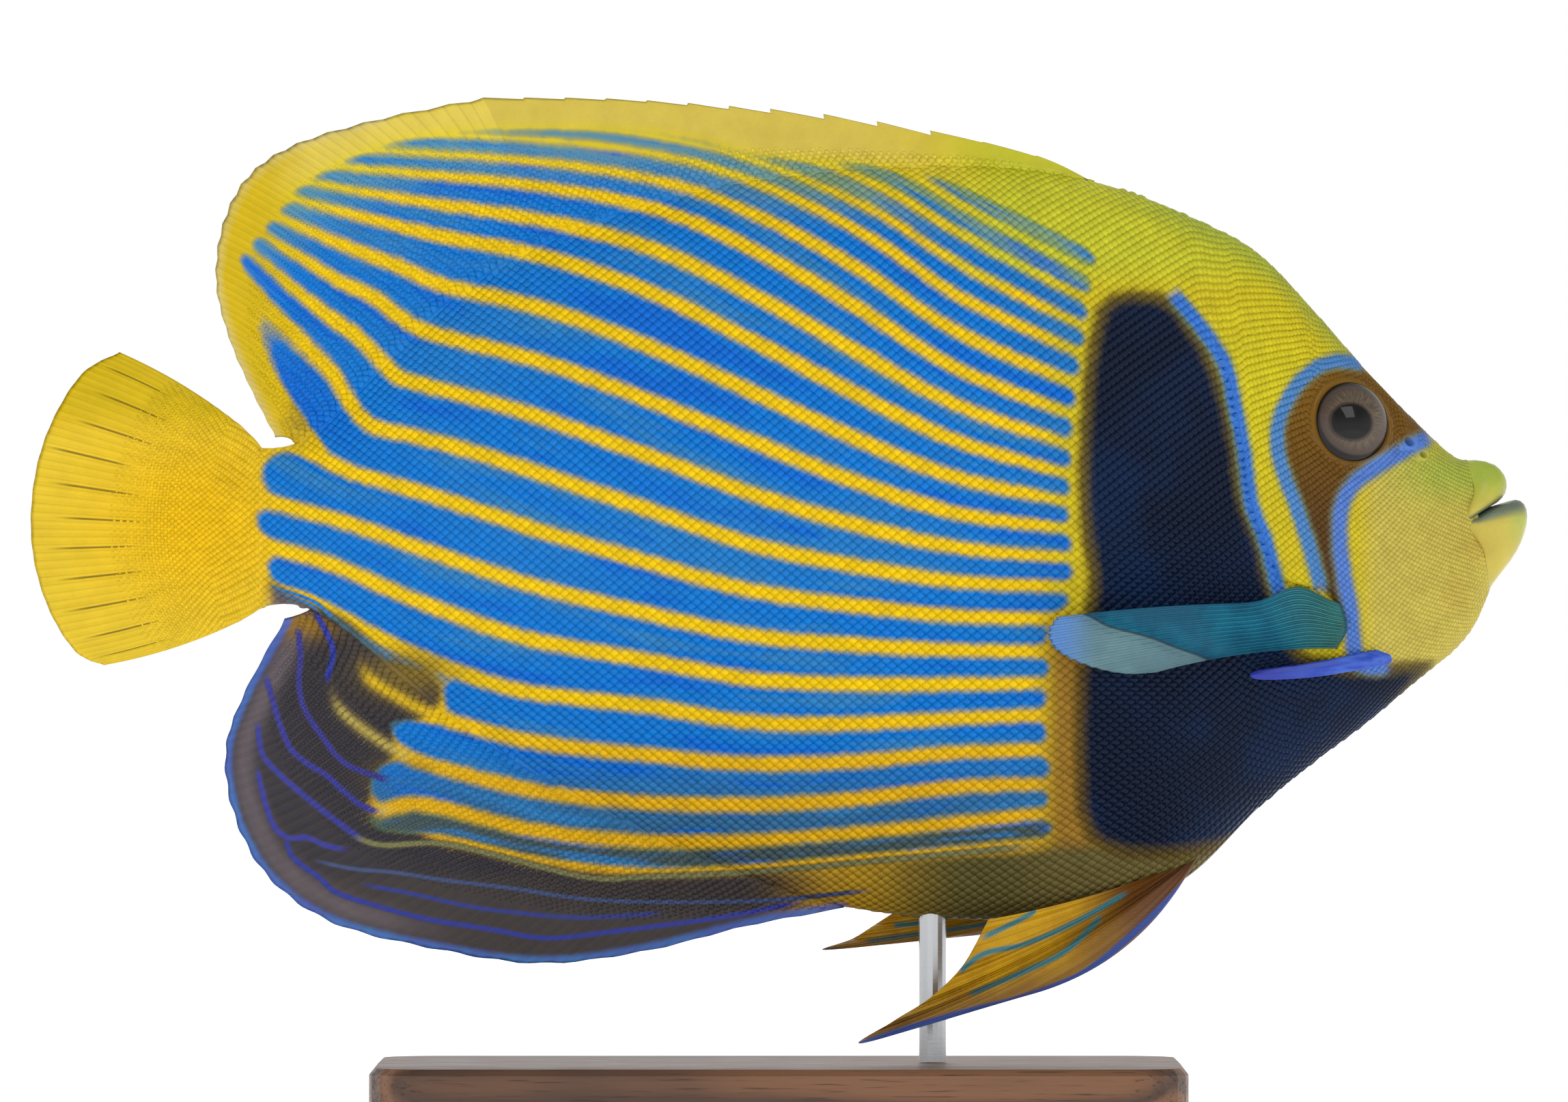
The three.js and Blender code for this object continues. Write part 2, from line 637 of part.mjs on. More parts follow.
// The eye's middle on the skin and its three directions: outwards, forwards and upwards
function eyeFrame(side) {
  const outward = skinNormal(EYE.x, EYE.h, side);
  const forward = new THREE.Vector3(1, 0, 0).addScaledVector(outward, -outward.x).normalize();
  const upward = new THREE.Vector3().crossVectors(outward, forward).multiplyScalar(-side);
  const middle = new THREE.Vector3(EYE.x, side * sideBreadth(EYE.x, EYE.h), EYE.h);
  return { middle, outward, forward, upward };
}

// A low rim round the eye, fused to the head
function orbitRim(side) {
  const { middle, outward, forward, upward } = eyeFrame(side);
  const steps = 22;
  const around = 6;
  const points = [];
  const triangles = [];
  for (let i = 0; i < steps; i += 1) {
    const turn = (i / steps) * 2 * Math.PI;
    for (let j = 0; j < around; j += 1) {
      const angle = (j / around) * 2 * Math.PI;
      const out = ORBIT_RIM.thick * Math.cos(angle);
      const point = middle.clone();
      point.addScaledVector(forward, (ORBIT_RIM.across + out) * Math.cos(turn));
      point.addScaledVector(upward, (ORBIT_RIM.upright + out) * Math.sin(turn));
      const sunk = side * point.y - sideBreadth(point.x, point.z);
      point.y -= side * (sunk - ORBIT_RIM.flat * Math.sin(angle));
      points.push(point.toArray());
      const [a, b] = [i * around + j, i * around + ((j + 1) % around)];
      const ahead = ((i + 1) % steps) * around;
      const [c, d] = [ahead + j, ahead + ((j + 1) % around)];
      triangles.push([a, b, d], [a, d, c]);
    }
  }
  return closedSolid(points, triangles);
}

function eyeSolid(side, grow) {
  const { middle, outward, forward, upward } = eyeFrame(side);
  const centre = middle.clone().addScaledVector(outward, -EYE.sunk);
  const place = new THREE.Matrix4().makeBasis(forward, outward, upward).setPosition(centre);
  const radii = [EYE.across + grow, EYE.deep + grow, EYE.upright + grow];
  return ellipsoid([0, 0, 0], radii, 20, 10).transform(place.toArray());
}

const upperLip = lipSolid(UPPER_LIP, 0);
const lowerLip = lipSolid(LOWER_LIP, 0).subtract(lipSolid(UPPER_LIP, PART_GAP));

function headSolid() {
  let head = body.intersect(headRegion);
  for (const side of [-1, 1]) {
    head = head.add(orbitRim(side));
  }
  for (const side of [-1, 1]) {
    head = head.subtract(gillCoverBed(side));
    head = head.subtract(eyeSolid(side, PART_GAP));
    for (const nostril of NOSTRILS) {
      const centre = [nostril.x, side * sideBreadth(nostril.x, nostril.h), nostril.h];
      head = head.subtract(ellipsoid(centre, [nostril.radius, nostril.radius, nostril.radius], 8, 6));
    }
  }
  head = head.subtract(lipSolid(UPPER_LIP, PART_GAP)).subtract(lipSolid(LOWER_LIP, PART_GAP));
  head = head.subtract(ellipsoid([MOUTH_CAVITY.x, 0, MOUTH_CAVITY.h], MOUTH_CAVITY.radii, 12, 8));
  return head;
}

function standBase() {
  const { length, width, thickness, bevel } = BASE;
  const floor = -MIDLINE_HEIGHT;
  const ringAt = (inset, h) => {
    const ring = [];
    const radius = 14;
    for (const [signX, signY, start] of [[1, 1, 0], [-1, 1, 1], [-1, -1, 2], [1, -1, 3]]) {
      for (let k = 0; k <= 5; k += 1) {
        const turn = (start + k / 5) * (Math.PI / 2);
        ring.push([
          signX * (length / 2 - radius) + (radius - inset) * Math.cos(turn),
          signY * (width / 2 - radius) + (radius - inset) * Math.sin(turn),
          floor + h,
        ]);
      }
    }
    return ring;
  };
  return loftRings([ringAt(0, 0), ringAt(0, thickness - bevel), ringAt(bevel, thickness)]);
}

function standRod() {
  const start = -MIDLINE_HEIGHT + BASE.thickness + PART_GAP;
  const end = midlineHeight(ROD.x, 'bottom') + 8;
  const ringAt = (h) => Array.from({ length: 16 }, (_, j) => {
    const turn = (j / 16) * 2 * Math.PI;
    return [ROD.x + ROD.radius * Math.cos(turn), ROD.radius * Math.sin(turn), h];
  });
  return loftRings([ringAt(start), ringAt(end)]).subtract(bodyWithGap);
}

// Colours of the sub-parts, as the eye sees them from a step away
const COLOURS = {
  cheek: 0xc8b94b,
  flank: 0x2a7bc0,
  tail: 0xebc314,
  dorsal: 0xe0c040,
  anal: 0x41466e,
  pectoral: 0x0a5f7a,
  pelvic: 0xc89a1e,
  eye: 0x4a4038,
  lip: 0xb4c05a,
  gillCover: 0xd8c228,
  spine: 0x2f6fb8,
  wood: 0x8a6a45,
  steel: 0x9aa0a4,
};

function namedMesh(name, solid, colour, finish = {}) {
  const mesh = largestPiece(solid).getMesh();
  const geometry = new THREE.BufferGeometry();
  geometry.setAttribute('position', new THREE.BufferAttribute(new Float32Array(mesh.vertProperties), 3));
  geometry.setIndex(new THREE.BufferAttribute(new Uint32Array(mesh.triVerts), 1));
  geometry.computeVertexNormals();
  const look = { color: colour, roughness: 0.45, metalness: 0, ...finish };
  const material = new THREE.MeshStandardMaterial(look);
  const node = new THREE.Mesh(geometry, material);
  node.name = name;
  return node;
}

const fish = new THREE.Group();
const head = headSolid();
const torso = body.subtract(headRegionWithGap).subtract(peduncleRegionWithGap);
const peduncle = body.intersect(peduncleRegion);

fish.add(namedMesh('head', head, COLOURS.cheek));
fish.add(namedMesh('torso', torso, COLOURS.flank));
fish.add(namedMesh('caudal_peduncle', peduncle, COLOURS.flank));
fish.add(namedMesh('upper_lip', upperLip, COLOURS.lip));
fish.add(namedMesh('lower_lip', lowerLip, COLOURS.lip));
fish.add(namedMesh('dorsal_fin_spiny', finSolid(SPINY_DORSAL).subtract(bodyWithGap), COLOURS.dorsal));
fish.add(namedMesh('dorsal_fin_soft', finSolid(SOFT_DORSAL).subtract(bodyWithGap), COLOURS.dorsal));
fish.add(namedMesh('anal_fin', finSolid(ANAL).subtract(bodyWithGap), COLOURS.anal));
fish.add(namedMesh('caudal_fin', finSolid(CAUDAL).subtract(bodyWithGap), COLOURS.tail));

for (const [word, side] of [['right', -1], ['left', 1]]) {
  const cover = gillCover(side);
  const pelvic = side < 0 ? RIGHT_PELVIC : LEFT_PELVIC;
  const pectoralFin = sideFin(PECTORAL, side).subtract(bodyWithGap);
  const pelvicFin = sideFin(pelvic, side).subtract(bodyWithGap);
  const cheekSpine = spineSolid(CHEEK_SPINE, side).subtract(bodyWithGap);
  fish.add(namedMesh(`eye_${word}`, eyeSolid(side, 0), COLOURS.eye, { roughness: 0.1 }));
  fish.add(namedMesh(`gill_cover_${word}`, cover, COLOURS.gillCover));
  fish.add(namedMesh(`cheek_spine_${word}`, cheekSpine, COLOURS.spine));
  fish.add(namedMesh(`pectoral_fin_${word}`, pectoralFin, COLOURS.pectoral));
  fish.add(namedMesh(`pelvic_fin_${word}`, pelvicFin, COLOURS.pelvic));
}

fish.add(namedMesh('stand_base', standBase(), COLOURS.wood, { roughness: 0.5 }));
fish.add(namedMesh('stand_rod', standRod(), COLOURS.steel, { roughness: 0.3, metalness: 1 }));
fish.position.z = MIDLINE_HEIGHT;

const model = new THREE.Group();
model.add(fish);
export default model;
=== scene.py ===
# Emperor angelfish, a life-size display model that a short steel rod holds over a wooden base.
# The scene is in metres. Sizes of the fish are in millimetres: x forwards along the fish, h upwards
# from its middle line and y to its left.
import math

import bmesh
import bpy
import numpy as np
from mathutils import Matrix, Vector


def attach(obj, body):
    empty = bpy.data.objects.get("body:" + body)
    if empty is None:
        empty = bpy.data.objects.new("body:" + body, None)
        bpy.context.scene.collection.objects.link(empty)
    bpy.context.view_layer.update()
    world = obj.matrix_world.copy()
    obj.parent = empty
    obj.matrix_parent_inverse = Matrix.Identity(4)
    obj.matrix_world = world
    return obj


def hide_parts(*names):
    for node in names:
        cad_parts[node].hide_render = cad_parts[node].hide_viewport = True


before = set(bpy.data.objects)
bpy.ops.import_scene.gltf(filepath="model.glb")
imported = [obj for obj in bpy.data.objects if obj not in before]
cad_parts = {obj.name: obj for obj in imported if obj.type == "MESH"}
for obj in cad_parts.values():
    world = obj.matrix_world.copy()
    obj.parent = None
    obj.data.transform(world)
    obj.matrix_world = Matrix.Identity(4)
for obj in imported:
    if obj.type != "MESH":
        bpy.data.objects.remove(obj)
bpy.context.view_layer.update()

# The camera looks level at the fish's right side from far off, so that it shows as flat as in the
# drawing. One pixel of the drawing is 0.16 mm of the fish, and the frame is as wide as the drawing.
PIXEL = 0.16
DRAWING_WIDTH, DRAWING_HEIGHT = 2296, 1613
MIDLINE = 135.0
MIDLINE_PIXEL = (1140.5, 774.0)
CAMERA_DISTANCE = 4.0
SENSOR = 36
MM = 0.001


def placed(name, data):
    """A new object of the scene."""
    made = bpy.data.objects.new(name, data)
    bpy.context.scene.collection.objects.link(made)
    return made


camera_data = bpy.data.cameras.new("camera")
camera_data.sensor_width = SENSOR
camera_data.lens = SENSOR * CAMERA_DISTANCE / (DRAWING_WIDTH * PIXEL * MM)
camera_data.clip_end = 30
camera = placed("camera", camera_data)
camera.location = (
    (DRAWING_WIDTH / 2 - MIDLINE_PIXEL[0]) * PIXEL * MM,
    -CAMERA_DISTANCE,
    (MIDLINE + (MIDLINE_PIXEL[1] - DRAWING_HEIGHT / 2) * PIXEL) * MM,
)
camera.rotation_euler = (math.pi / 2, 0, 0)
bpy.context.scene.camera = camera

# The skin: one closed skin over head, body and the fins of the middle line, as on the real animal.
# It is a grid whose columns follow the body and go on into the fin rays above and below, shaped on
# one side, mirrored to the other and joined along the back, the belly and the edges of the fins.
COAT_DEPTH = 0.3

# Slices of the body from the root of the tail to the mouth: x and h on the back, x and h on the belly,
# half the breadth, height of the broadest point, and the sharpness of back and belly
STATIONS = np.array([
    (-121.5, 19, -121.5, -18.6, 3.2, 0, 0.9, 0.9),
    (-113, 20.5, -113, -18.2, 4.6, 0, 1, 1),
    (-102, 28.5, -102, -23.6, 7, 1, 1.2, 1.2),
    (-86, 46, -86, -37.2, 10.6, 2, 1.35, 1.35),
    (-66, 61.5, -66, -52, 14.6, 3, 1.45, 1.4),
    (-42, 72.5, -42, -66, 18.4, 4, 1.45, 1.35),
    (-16, 80.2, -16, -78.3, 21.6, 4, 1.4, 1.25),
    (12, 84.2, 12, -88, 23.8, 4, 1.35, 1.15),
    (40, 85.2, 42, -91.6, 24.8, 3, 1.3, 1.05),
    (62, 83.8, 70, -90.2, 24.6, 2, 1.25, 1.05),
    (80, 79.8, 94, -82.8, 23.4, 0, 1.2, 1.1),
    (97, 72.9, 112, -65.8, 21.6, -2, 1.15, 1.15),
    (112.4, 64.5, 126, -54.3, 19.6, -4, 1.1, 1.15),
    (126.2, 50.1, 138, -45.3, 17, -5, 1.05, 1.15),
    (139, 35.5, 149.6, -35.5, 14.3, -5, 1, 1.1),
    (150, 24.3, 158.2, -28.5, 11.6, -2, 0.95, 1.05),
    (157.5, 17.4, 163.2, -22.2, 9.2, 1, 0.9, 1),
    (161.5, 16, 166.5, -14.5, 7.6, 3, 0.9, 0.9),
])


def through(points, place):
    """A smooth line through points, at places from 0 at the first to 1 at the last."""
    points = np.asarray(points, float)
    last = len(points) - 1
    at = np.clip(np.asarray(place, float), 0, 1) * last
    i = np.minimum(at.astype(int), last - 1)
    t = (at - i)[..., None]
    start, end = points[i], points[i + 1]
    slope_start = (end - points[np.maximum(i - 1, 0)]) / 2
    slope_end = (points[np.minimum(i + 2, last)] - start) / 2
    bend = 2 * start - 2 * end + slope_start + slope_end
    lean = -3 * start + 3 * end - 2 * slope_start - slope_end
    return ((bend * t + lean) * t + slope_start) * t + start


def smooth(value):
    """0 below 0, 1 above 1 and a soft step between."""
    value = np.clip(value, 0, 1)
    return value * value * (3 - 2 * value)


def body_point(s, turn):
    """x, half breadth and h of the bare body at place s and angle turn, a quarter turn at the back."""
    top_x, top_h, low_x, low_h, width, level, ridge, keel = np.moveaxis(through(STATIONS, s), -1, 0)
    share = (level - low_h) / (top_h - low_h)
    middle_x = low_x + (top_x - low_x) * share
    up = np.sin(turn) >= 0
    rise = np.abs(np.sin(turn))
    out = np.maximum(np.cos(turn), 0)
    x = middle_x + (np.where(up, top_x, low_x) - middle_x) * rise
    h = level + (np.where(up, top_h, low_h) - level) * rise
    return np.stack([x, width * out ** np.where(up, ridge, keel), h], -1)


def body_normal(s, turn):
    """The outward direction of the bare body."""
    turn = np.clip(turn, -1.53, 1.53)
    ahead = body_point(np.minimum(s + 0.002, 1), turn) - body_point(np.maximum(s - 0.002, 0), turn)
    above = body_point(s, turn + 0.03) - body_point(s, turn - 0.03)
    normal = np.cross(above, ahead)
    return normal / np.linalg.norm(normal, axis=-1, keepdims=True)


# The fins of the middle line. Root and edge run from the front of a fin to its rear, or downwards.
EDGE_HALF = 0.22
FIN_ROOT_HALF = 2.4
TAIL_ROOT_HALF = 1.9
TAIL_ROOT_HEIGHT = 37.6
SPLIT_ROOT_X = -54.4
SPLIT_EDGE_X = -69.2
SPINES = 14
SOFT_RAYS = 21
ANAL_RAYS = 23
TAIL_RAYS = 17
FIRST_SPINE_X = 72.9
FRONT_SPINES = 6
FRONT_SPACING = 12.5
ROOT_DEPTH = 6

dense = np.linspace(0, 1, 600)
back_x, back_h, belly_x, belly_h = through(STATIONS, dense)[:, :4].T


def back_root(x):
    return (x, np.interp(x, back_x, back_h) - ROOT_DEPTH)


def belly_root(x):
    return (x, np.interp(x, belly_x, belly_h) + ROOT_DEPTH)


def spine_tip_x(number):
    """Where the edge of the fin is held up by a spine. The front spines stand further apart."""
    rear_spacing = (FIRST_SPINE_X - FRONT_SPINES * FRONT_SPACING - SPLIT_EDGE_X) / (SPINES - 1 - FRONT_SPINES)
    front = FRONT_SPACING * np.minimum(number, FRONT_SPINES)
    return FIRST_SPINE_X - front - rear_spacing * np.maximum(0, number - FRONT_SPINES)


SPINY_ROOT = [back_root(x) for x in (73, 55, 30, 5, -20, -40, SPLIT_ROOT_X)]
SPINY_EDGE = [
    (FIRST_SPINE_X, 81.9), (60.4, 87.4), (35.4, 93.3), (10.4, 97.2), (-12, 99.1), (-40.5, 100.8),
    (SPLIT_EDGE_X, 101),
]
SOFT_ROOT = [back_root(x) for x in (SPLIT_ROOT_X, -72, -88, -102)] + [(-112.2, 18.6)]
SOFT_EDGE = [
    (SPLIT_EDGE_X, 101), (-93, 96.3), (-113, 90.4), (-124.5, 82.8), (-130.5, 71.5), (-132.1, 58),
    (-129, 44.8), (-123.6, 32.3), (-118, 21.4),
]
ANAL_ROOT = [belly_root(x) for x in (18, -4, -28, -52, -74, -92)] + [(-106.5, -17)]
ANAL_EDGE = [
    (14.5, -89.2), (-7.3, -93.1), (-31.3, -99), (-56.1, -101.9), (-80, -98.6), (-104, -92.6),
    (-119.4, -82), (-127.6, -67.6), (-129.8, -52.2), (-125.4, -38.6), (-115.8, -21),
]
TAIL_ROOT = [(-118.6, 17.6), (-118.2, 9), (-118, 0), (-118.2, -9), (-118.6, -17.6)]
TAIL_EDGE = [
    (-154.6, 41.4), (-163, 36.8), (-169.6, 27), (-173.8, 15.6), (-175.4, 3), (-174.4, -8.6),
    (-170.6, -20), (-164.6, -29), (-158, -32),
]


def along_ray(root, edge, bow, v):
    """Points of a bowed ray, v from 0 at its root to 1 at its tip."""
    ray = edge - root
    length = np.linalg.norm(ray, axis=-1, keepdims=True)
    across = np.stack([ray[..., 1], -ray[..., 0]], -1) / length
    middle = (root + edge) / 2 + across * bow[..., None] * 2
    v = v[..., None]
    return root * (1 - v) ** 2 + middle * 2 * v * (1 - v) + edge * v ** 2


def ray_swell(u, rays, width):
    """1 on a ray and 0 between two rays."""
    field = u * (rays - 1)
    away = np.abs(field - np.round(field))
    return smooth(1 - away / width)


def drawn_back(root, edge, drop):
    """The edge of a fin, drawn back along its rays."""
    ray = edge - root
    return edge - ray / np.linalg.norm(ray, axis=-1, keepdims=True) * drop[..., None]


def membrane(root_half, v):
    """Half the thickness of a fin between its rays, thinner towards its edge."""
    return EDGE_HALF + (root_half - EDGE_HALF) * (1 - v) ** 2


def back_fin(u, v):
    """The fin along the back, u from 0 to 1 over its spines and from 1 to 2 over its soft rays.
    Gives x and h, half the thickness and the sway to the side."""
    hard = np.clip(u, 0, 1)
    soft = np.clip(u - 1, 0, 1)
    is_hard = u < 1
    spine_line = through(SPINY_EDGE, dense)
    tip_x = spine_tip_x(hard * (SPINES - 1))
    hard_edge = np.stack([tip_x, np.interp(-tip_x, -spine_line[:, 0], spine_line[:, 1])], -1)
    edge = np.where(is_hard[..., None], hard_edge, through(SOFT_EDGE, soft))
    root = np.where(is_hard[..., None], through(SPINY_ROOT, hard), through(SOFT_ROOT, soft))
    number = np.floor(hard * (SPINES - 1) + 1e-6)
    fraction = hard * (SPINES - 1) - number
    notch = np.where(number < 3, 0.3, np.maximum(0.4, 1.5 - np.maximum(0, number - 5) * 0.3))
    hard_drop = notch * np.interp(fraction, [0, 0.05, 0.55, 1], [0, 1, 0.5, 0])
    soft_drop = 0.5 * (1 - ray_swell(soft, SOFT_RAYS, 0.5))
    drop = np.where(is_hard, hard_drop, soft_drop)
    bow = np.where(is_hard, 1.2 * hard, 1.2 + 3.5 * np.sin(np.pi * np.minimum(1, soft * 1.2)) * (1 - soft))
    place = along_ray(root, drawn_back(root, edge, drop), bow, v)
    swell = np.where(is_hard, 0.42 * ray_swell(hard, SPINES, 0.1), 0.2 * ray_swell(soft, SOFT_RAYS, 0.42))
    half = membrane(FIN_ROOT_HALF, v) + swell * (1 - 0.6 * v)
    hard_sway = 0.6 * np.sin(5 * hard) * v
    soft_sway = 0.6 * np.sin(5) * v * (1 - soft) + 2.6 * np.sin(3.4 * soft) * v ** 2
    return place, half, np.where(is_hard, hard_sway, soft_sway)


def anal_fin(u, v):
    root = through(ANAL_ROOT, u)
    edge = drawn_back(root, through(ANAL_EDGE, u), 0.5 * (1 - ray_swell(u, ANAL_RAYS, 0.5)))
    place = along_ray(root, edge, -3 * np.sin(np.pi * u) - 0.5, v)
    half = membrane(FIN_ROOT_HALF, v) + 0.22 * ray_swell(u, ANAL_RAYS, 0.42) * (1 - 0.6 * v)
    return place, half, -2.4 * np.sin(3.2 * u) * v ** 2


def tail_fin(u, v):
    root = through(TAIL_ROOT, u)
    edge = drawn_back(root, through(TAIL_EDGE, u), 0.12 * (1 - ray_swell(u, TAIL_RAYS, 0.5)))
    place = along_ray(root, edge, 1.9 * np.cos(np.pi * u) ** 3, v)
    half = membrane(TAIL_ROOT_HALF, v) + 0.26 * ray_swell(u, TAIL_RAYS, 0.4) * (1 - 0.6 * v)
    return place, half, 3.2 * v ** 2 * (0.4 + 0.6 * np.cos(2.4 * u))


def crossings(fin, u, line_x, line_h, side):
    """Where each ray leaves the body: its x there and its v."""
    v = np.linspace(0, 1, 81)
    place, _, _ = fin(np.repeat(u[:, None], len(v), 1), np.repeat(v[None], len(u), 0))
    above = side * (place[..., 1] - np.interp(place[..., 0], line_x, line_h))
    found_x, found_v = [], []
    for row, height in zip(place, above):
        outside = np.nonzero(height > 0)[0]
        if len(outside) == 0:
            found_x.append(row[-1, 0])
            found_v.append(1.0)
            continue
        k = max(outside[0], 1)
        t = height[k - 1] / (height[k - 1] - height[k]) if height[k - 1] < 0 else 0
        found_x.append(row[k - 1, 0] + (row[k, 0] - row[k - 1, 0]) * t)
        found_v.append(v[k - 1] + (v[k] - v[k - 1]) * t)
    return np.array(found_x), np.array(found_v)


# Columns, from the tail's edge to the mouth: the tail fin, its root, the soft rays, the spines, the
# head and the lips
TAIL_COLUMNS = 40
ROOT_COLUMNS = 8
LIP_COLUMNS = 18
soft_u = 1 + np.arange(SOFT_RAYS * 4 - 3)[::-1] / (4 * (SOFT_RAYS - 1))
hard_u = np.concatenate([
    (k + np.array([0.95, 0.83, 0.67, 0.5, 0.34, 0.17, 0.05, 0])) / (SPINES - 1)
    for k in range(SPINES - 1)[::-1]
])
fin_u = np.concatenate([soft_u, hard_u])
fin_x, fin_v = crossings(back_fin, fin_u, back_x, back_h, 1)
root_x = np.linspace(-121.5, fin_x[0] - 0.4, ROOT_COLUMNS)
head_x = 161.5 - (161.5 - fin_x[-1]) * (1 - np.linspace(0, 1, 90)[1:]) ** 1.08
body_x = np.concatenate([root_x, fin_x, head_x])
body_s = np.interp(body_x, back_x, dense)
body_s[0], body_s[-1] = 0, 1
BODY_COLUMNS = len(body_s)
LAST_BODY_COLUMN = TAIL_COLUMNS + BODY_COLUMNS - 1
COLUMNS = TAIL_COLUMNS + BODY_COLUMNS + LIP_COLUMNS
column_s = np.concatenate([np.zeros(TAIL_COLUMNS), body_s, np.ones(LIP_COLUMNS)])
back_columns = slice(TAIL_COLUMNS + ROOT_COLUMNS, TAIL_COLUMNS + ROOT_COLUMNS + len(fin_u))
has_back_fin, back_u, back_v = np.zeros(COLUMNS), np.full(COLUMNS, 2.0), np.ones(COLUMNS)
has_back_fin[back_columns] = 1
back_u[back_columns] = fin_u
back_u[back_columns.stop:] = 0
back_v[back_columns] = fin_v
all_u = np.linspace(0, 1, 221)
anal_x, anal_start = crossings(anal_fin, all_u, belly_x, belly_h, -1)
column_belly_x = through(STATIONS, column_s)[:, 2]
belly_u = np.interp(-column_belly_x, -anal_x, all_u)
belly_v = np.interp(belly_u, all_u, anal_start)
has_anal_fin = ((column_belly_x < anal_x[0]) & (column_belly_x > anal_x[-1])).astype(float)
last_anal = int(np.nonzero(has_anal_fin)[0][0])
belly_u[last_anal] = 1.0
belly_v[last_anal] = anal_start[-1]

# Rows, from the edge of the fin on the back down to the edge of the anal fin
FIN_ROWS = 20
BODY_ROWS = 104
ROWS = FIN_ROWS + BODY_ROWS + FIN_ROWS
body_w = np.linspace(1, -1, BODY_ROWS)
row_turn = (math.pi / 2) * (0.7 * body_w + 0.3 * body_w ** 3)
row_turn = np.concatenate([np.full(FIN_ROWS, math.pi / 2), row_turn, np.full(FIN_ROWS, -math.pi / 2)])
row_out = np.concatenate([
    1 - (np.arange(FIN_ROWS) / FIN_ROWS) ** 1.25, np.zeros(BODY_ROWS),
    1 - (1 - (np.arange(FIN_ROWS) + 1) / FIN_ROWS) ** 1.25,
])

# The mouth: each lip is a tube bent round it from corner to corner
UPPER_LIP = {"corner": (160.4, 8.2, 3.2, 1.5, 1.3), "front": (163.9, 10.7, 6.6, 5.6), "tilt": -0.1}
LOWER_LIP = {"corner": (161.2, 8.2, -0.6, 1.6, 1.8), "front": (168.3, -3.1, 5.6, 9.9), "tilt": 0.43}
MOUTH_TURN = -0.07
THROAT = np.array([152.0, 0.0, 2.5])
MOUTH_CORNER = np.array([160.2, 7.2, 1.5])


def lip_point(lip, turn, angle):
    """A point of a lip, turn from 0 at the corner to a quarter turn at the front of the mouth."""
    corner_x, corner_y, corner_h, corner_reach, corner_rise = lip["corner"]
    front_x, front_h, front_reach, front_rise = lip["front"]
    forward = np.sin(turn)
    blend = forward ** 1.3
    reach = corner_reach + (front_reach - corner_reach) * blend
    rise = corner_rise + (front_rise - corner_rise) * blend
    up = rise * np.sin(angle)
    out = reach * np.cos(angle) + up * lip["tilt"]
    return np.stack([
        corner_x + (front_x - corner_x) * forward + forward * out,
        corner_y * np.cos(turn) + np.cos(turn) * out * 0.55,
        corner_h + (front_h - corner_h) * forward ** 1.5 + up,
    ], -1)


# The eye, the nostrils and the edges of the gill cover and of the cheek, raised or sunk in the skin
EYE_X, EYE_H = 133.8, 25.1
EYE_ACROSS, EYE_UPRIGHT = 8.9, 9.3
SOCKET_DEPTH, SOCKET_RIM = 3.2, 0.75
NOSTRILS = [(147.4, 20.4, 1.3), (150.6, 17.4, 1.0)]
NOSTRIL_DEPTH, NOSTRIL_RIM = 1.5, 0.3
GILL_EDGE = [
    (101, 42.5), (104, 38), (106.5, 27), (108.3, 17), (110, 6), (113.4, -4), (117.2, -11), (123, -13.6),
    (129, -13.4),
]
GILL_STEP, GILL_GROOVE = 0.95, 0.55
CHEEK_EDGE = [
    (112, 37), (118.5, 25), (122, 12), (125, -3), (128.5, -13.6), (134, -22), (139, -28), (146, -31),
]
CHEEK_STEP, CHEEK_GROOVE = 0.4, 0.25


def skin_place(x, h):
    """s and turn of the point of the body's side that shows at x and h."""
    s_grid, turn_grid = np.meshgrid(np.linspace(0, 1, 500), np.linspace(-1.57, 1.57, 400), indexing="ij")
    seen = body_point(s_grid, turn_grid)
    k = np.argmin((seen[..., 0] - x) ** 2 + (seen[..., 2] - h) ** 2)
    return s_grid.flat[k], turn_grid.flat[k]


eye_s, eye_turn = skin_place(EYE_X, EYE_H)
eye_middle = body_point(np.array(eye_s), np.array(eye_turn))
eye_out = body_normal(np.array(eye_s), np.array(eye_turn))
eye_forward = np.array([1.0, 0, 0]) - eye_out * eye_out[0]
eye_forward /= np.linalg.norm(eye_forward)
eye_up = np.cross(eye_forward, eye_out)
eye_up *= np.sign(eye_up[2])
nostril_middles = [
    (body_point(*[np.array(value) for value in skin_place(nostril_x, nostril_h)]), radius)
    for nostril_x, nostril_h, radius in NOSTRILS
]


def line_distance(points, x, h, samples=40, open_ends=True):
    """Signed distance to a smooth line of the side view, positive on the left hand of someone who
    walks along it, and the place along it. Open ends run on straight."""
    line = through(points, np.linspace(0, 1, samples))
    best = np.full(np.shape(x), 1e9)
    signed = np.zeros(np.shape(x))
    place = np.zeros(np.shape(x))
    for k in range(samples - 1):
        (ax, ah), (bx, bh) = line[k], line[k + 1]
        dx, dh = bx - ax, bh - ah
        length = dx * dx + dh * dh
        t = ((x - ax) * dx + (h - ah) * dh) / length
        low = -1e9 if open_ends and k == 0 else 0
        high = 1e9 if open_ends and k == samples - 2 else 1
        near = np.clip(t, low, high)
        away = (x - ax - near * dx) ** 2 + (h - ah - near * dh) ** 2
        closer = away < best
        best = np.where(closer, away, best)
        side = np.sign(dx * (h - ah) - dh * (x - ax))
        signed = np.where(closer, side * np.sqrt(away), signed)
        place = np.where(closer, (k + t) / (samples - 1), place)
    return signed, place


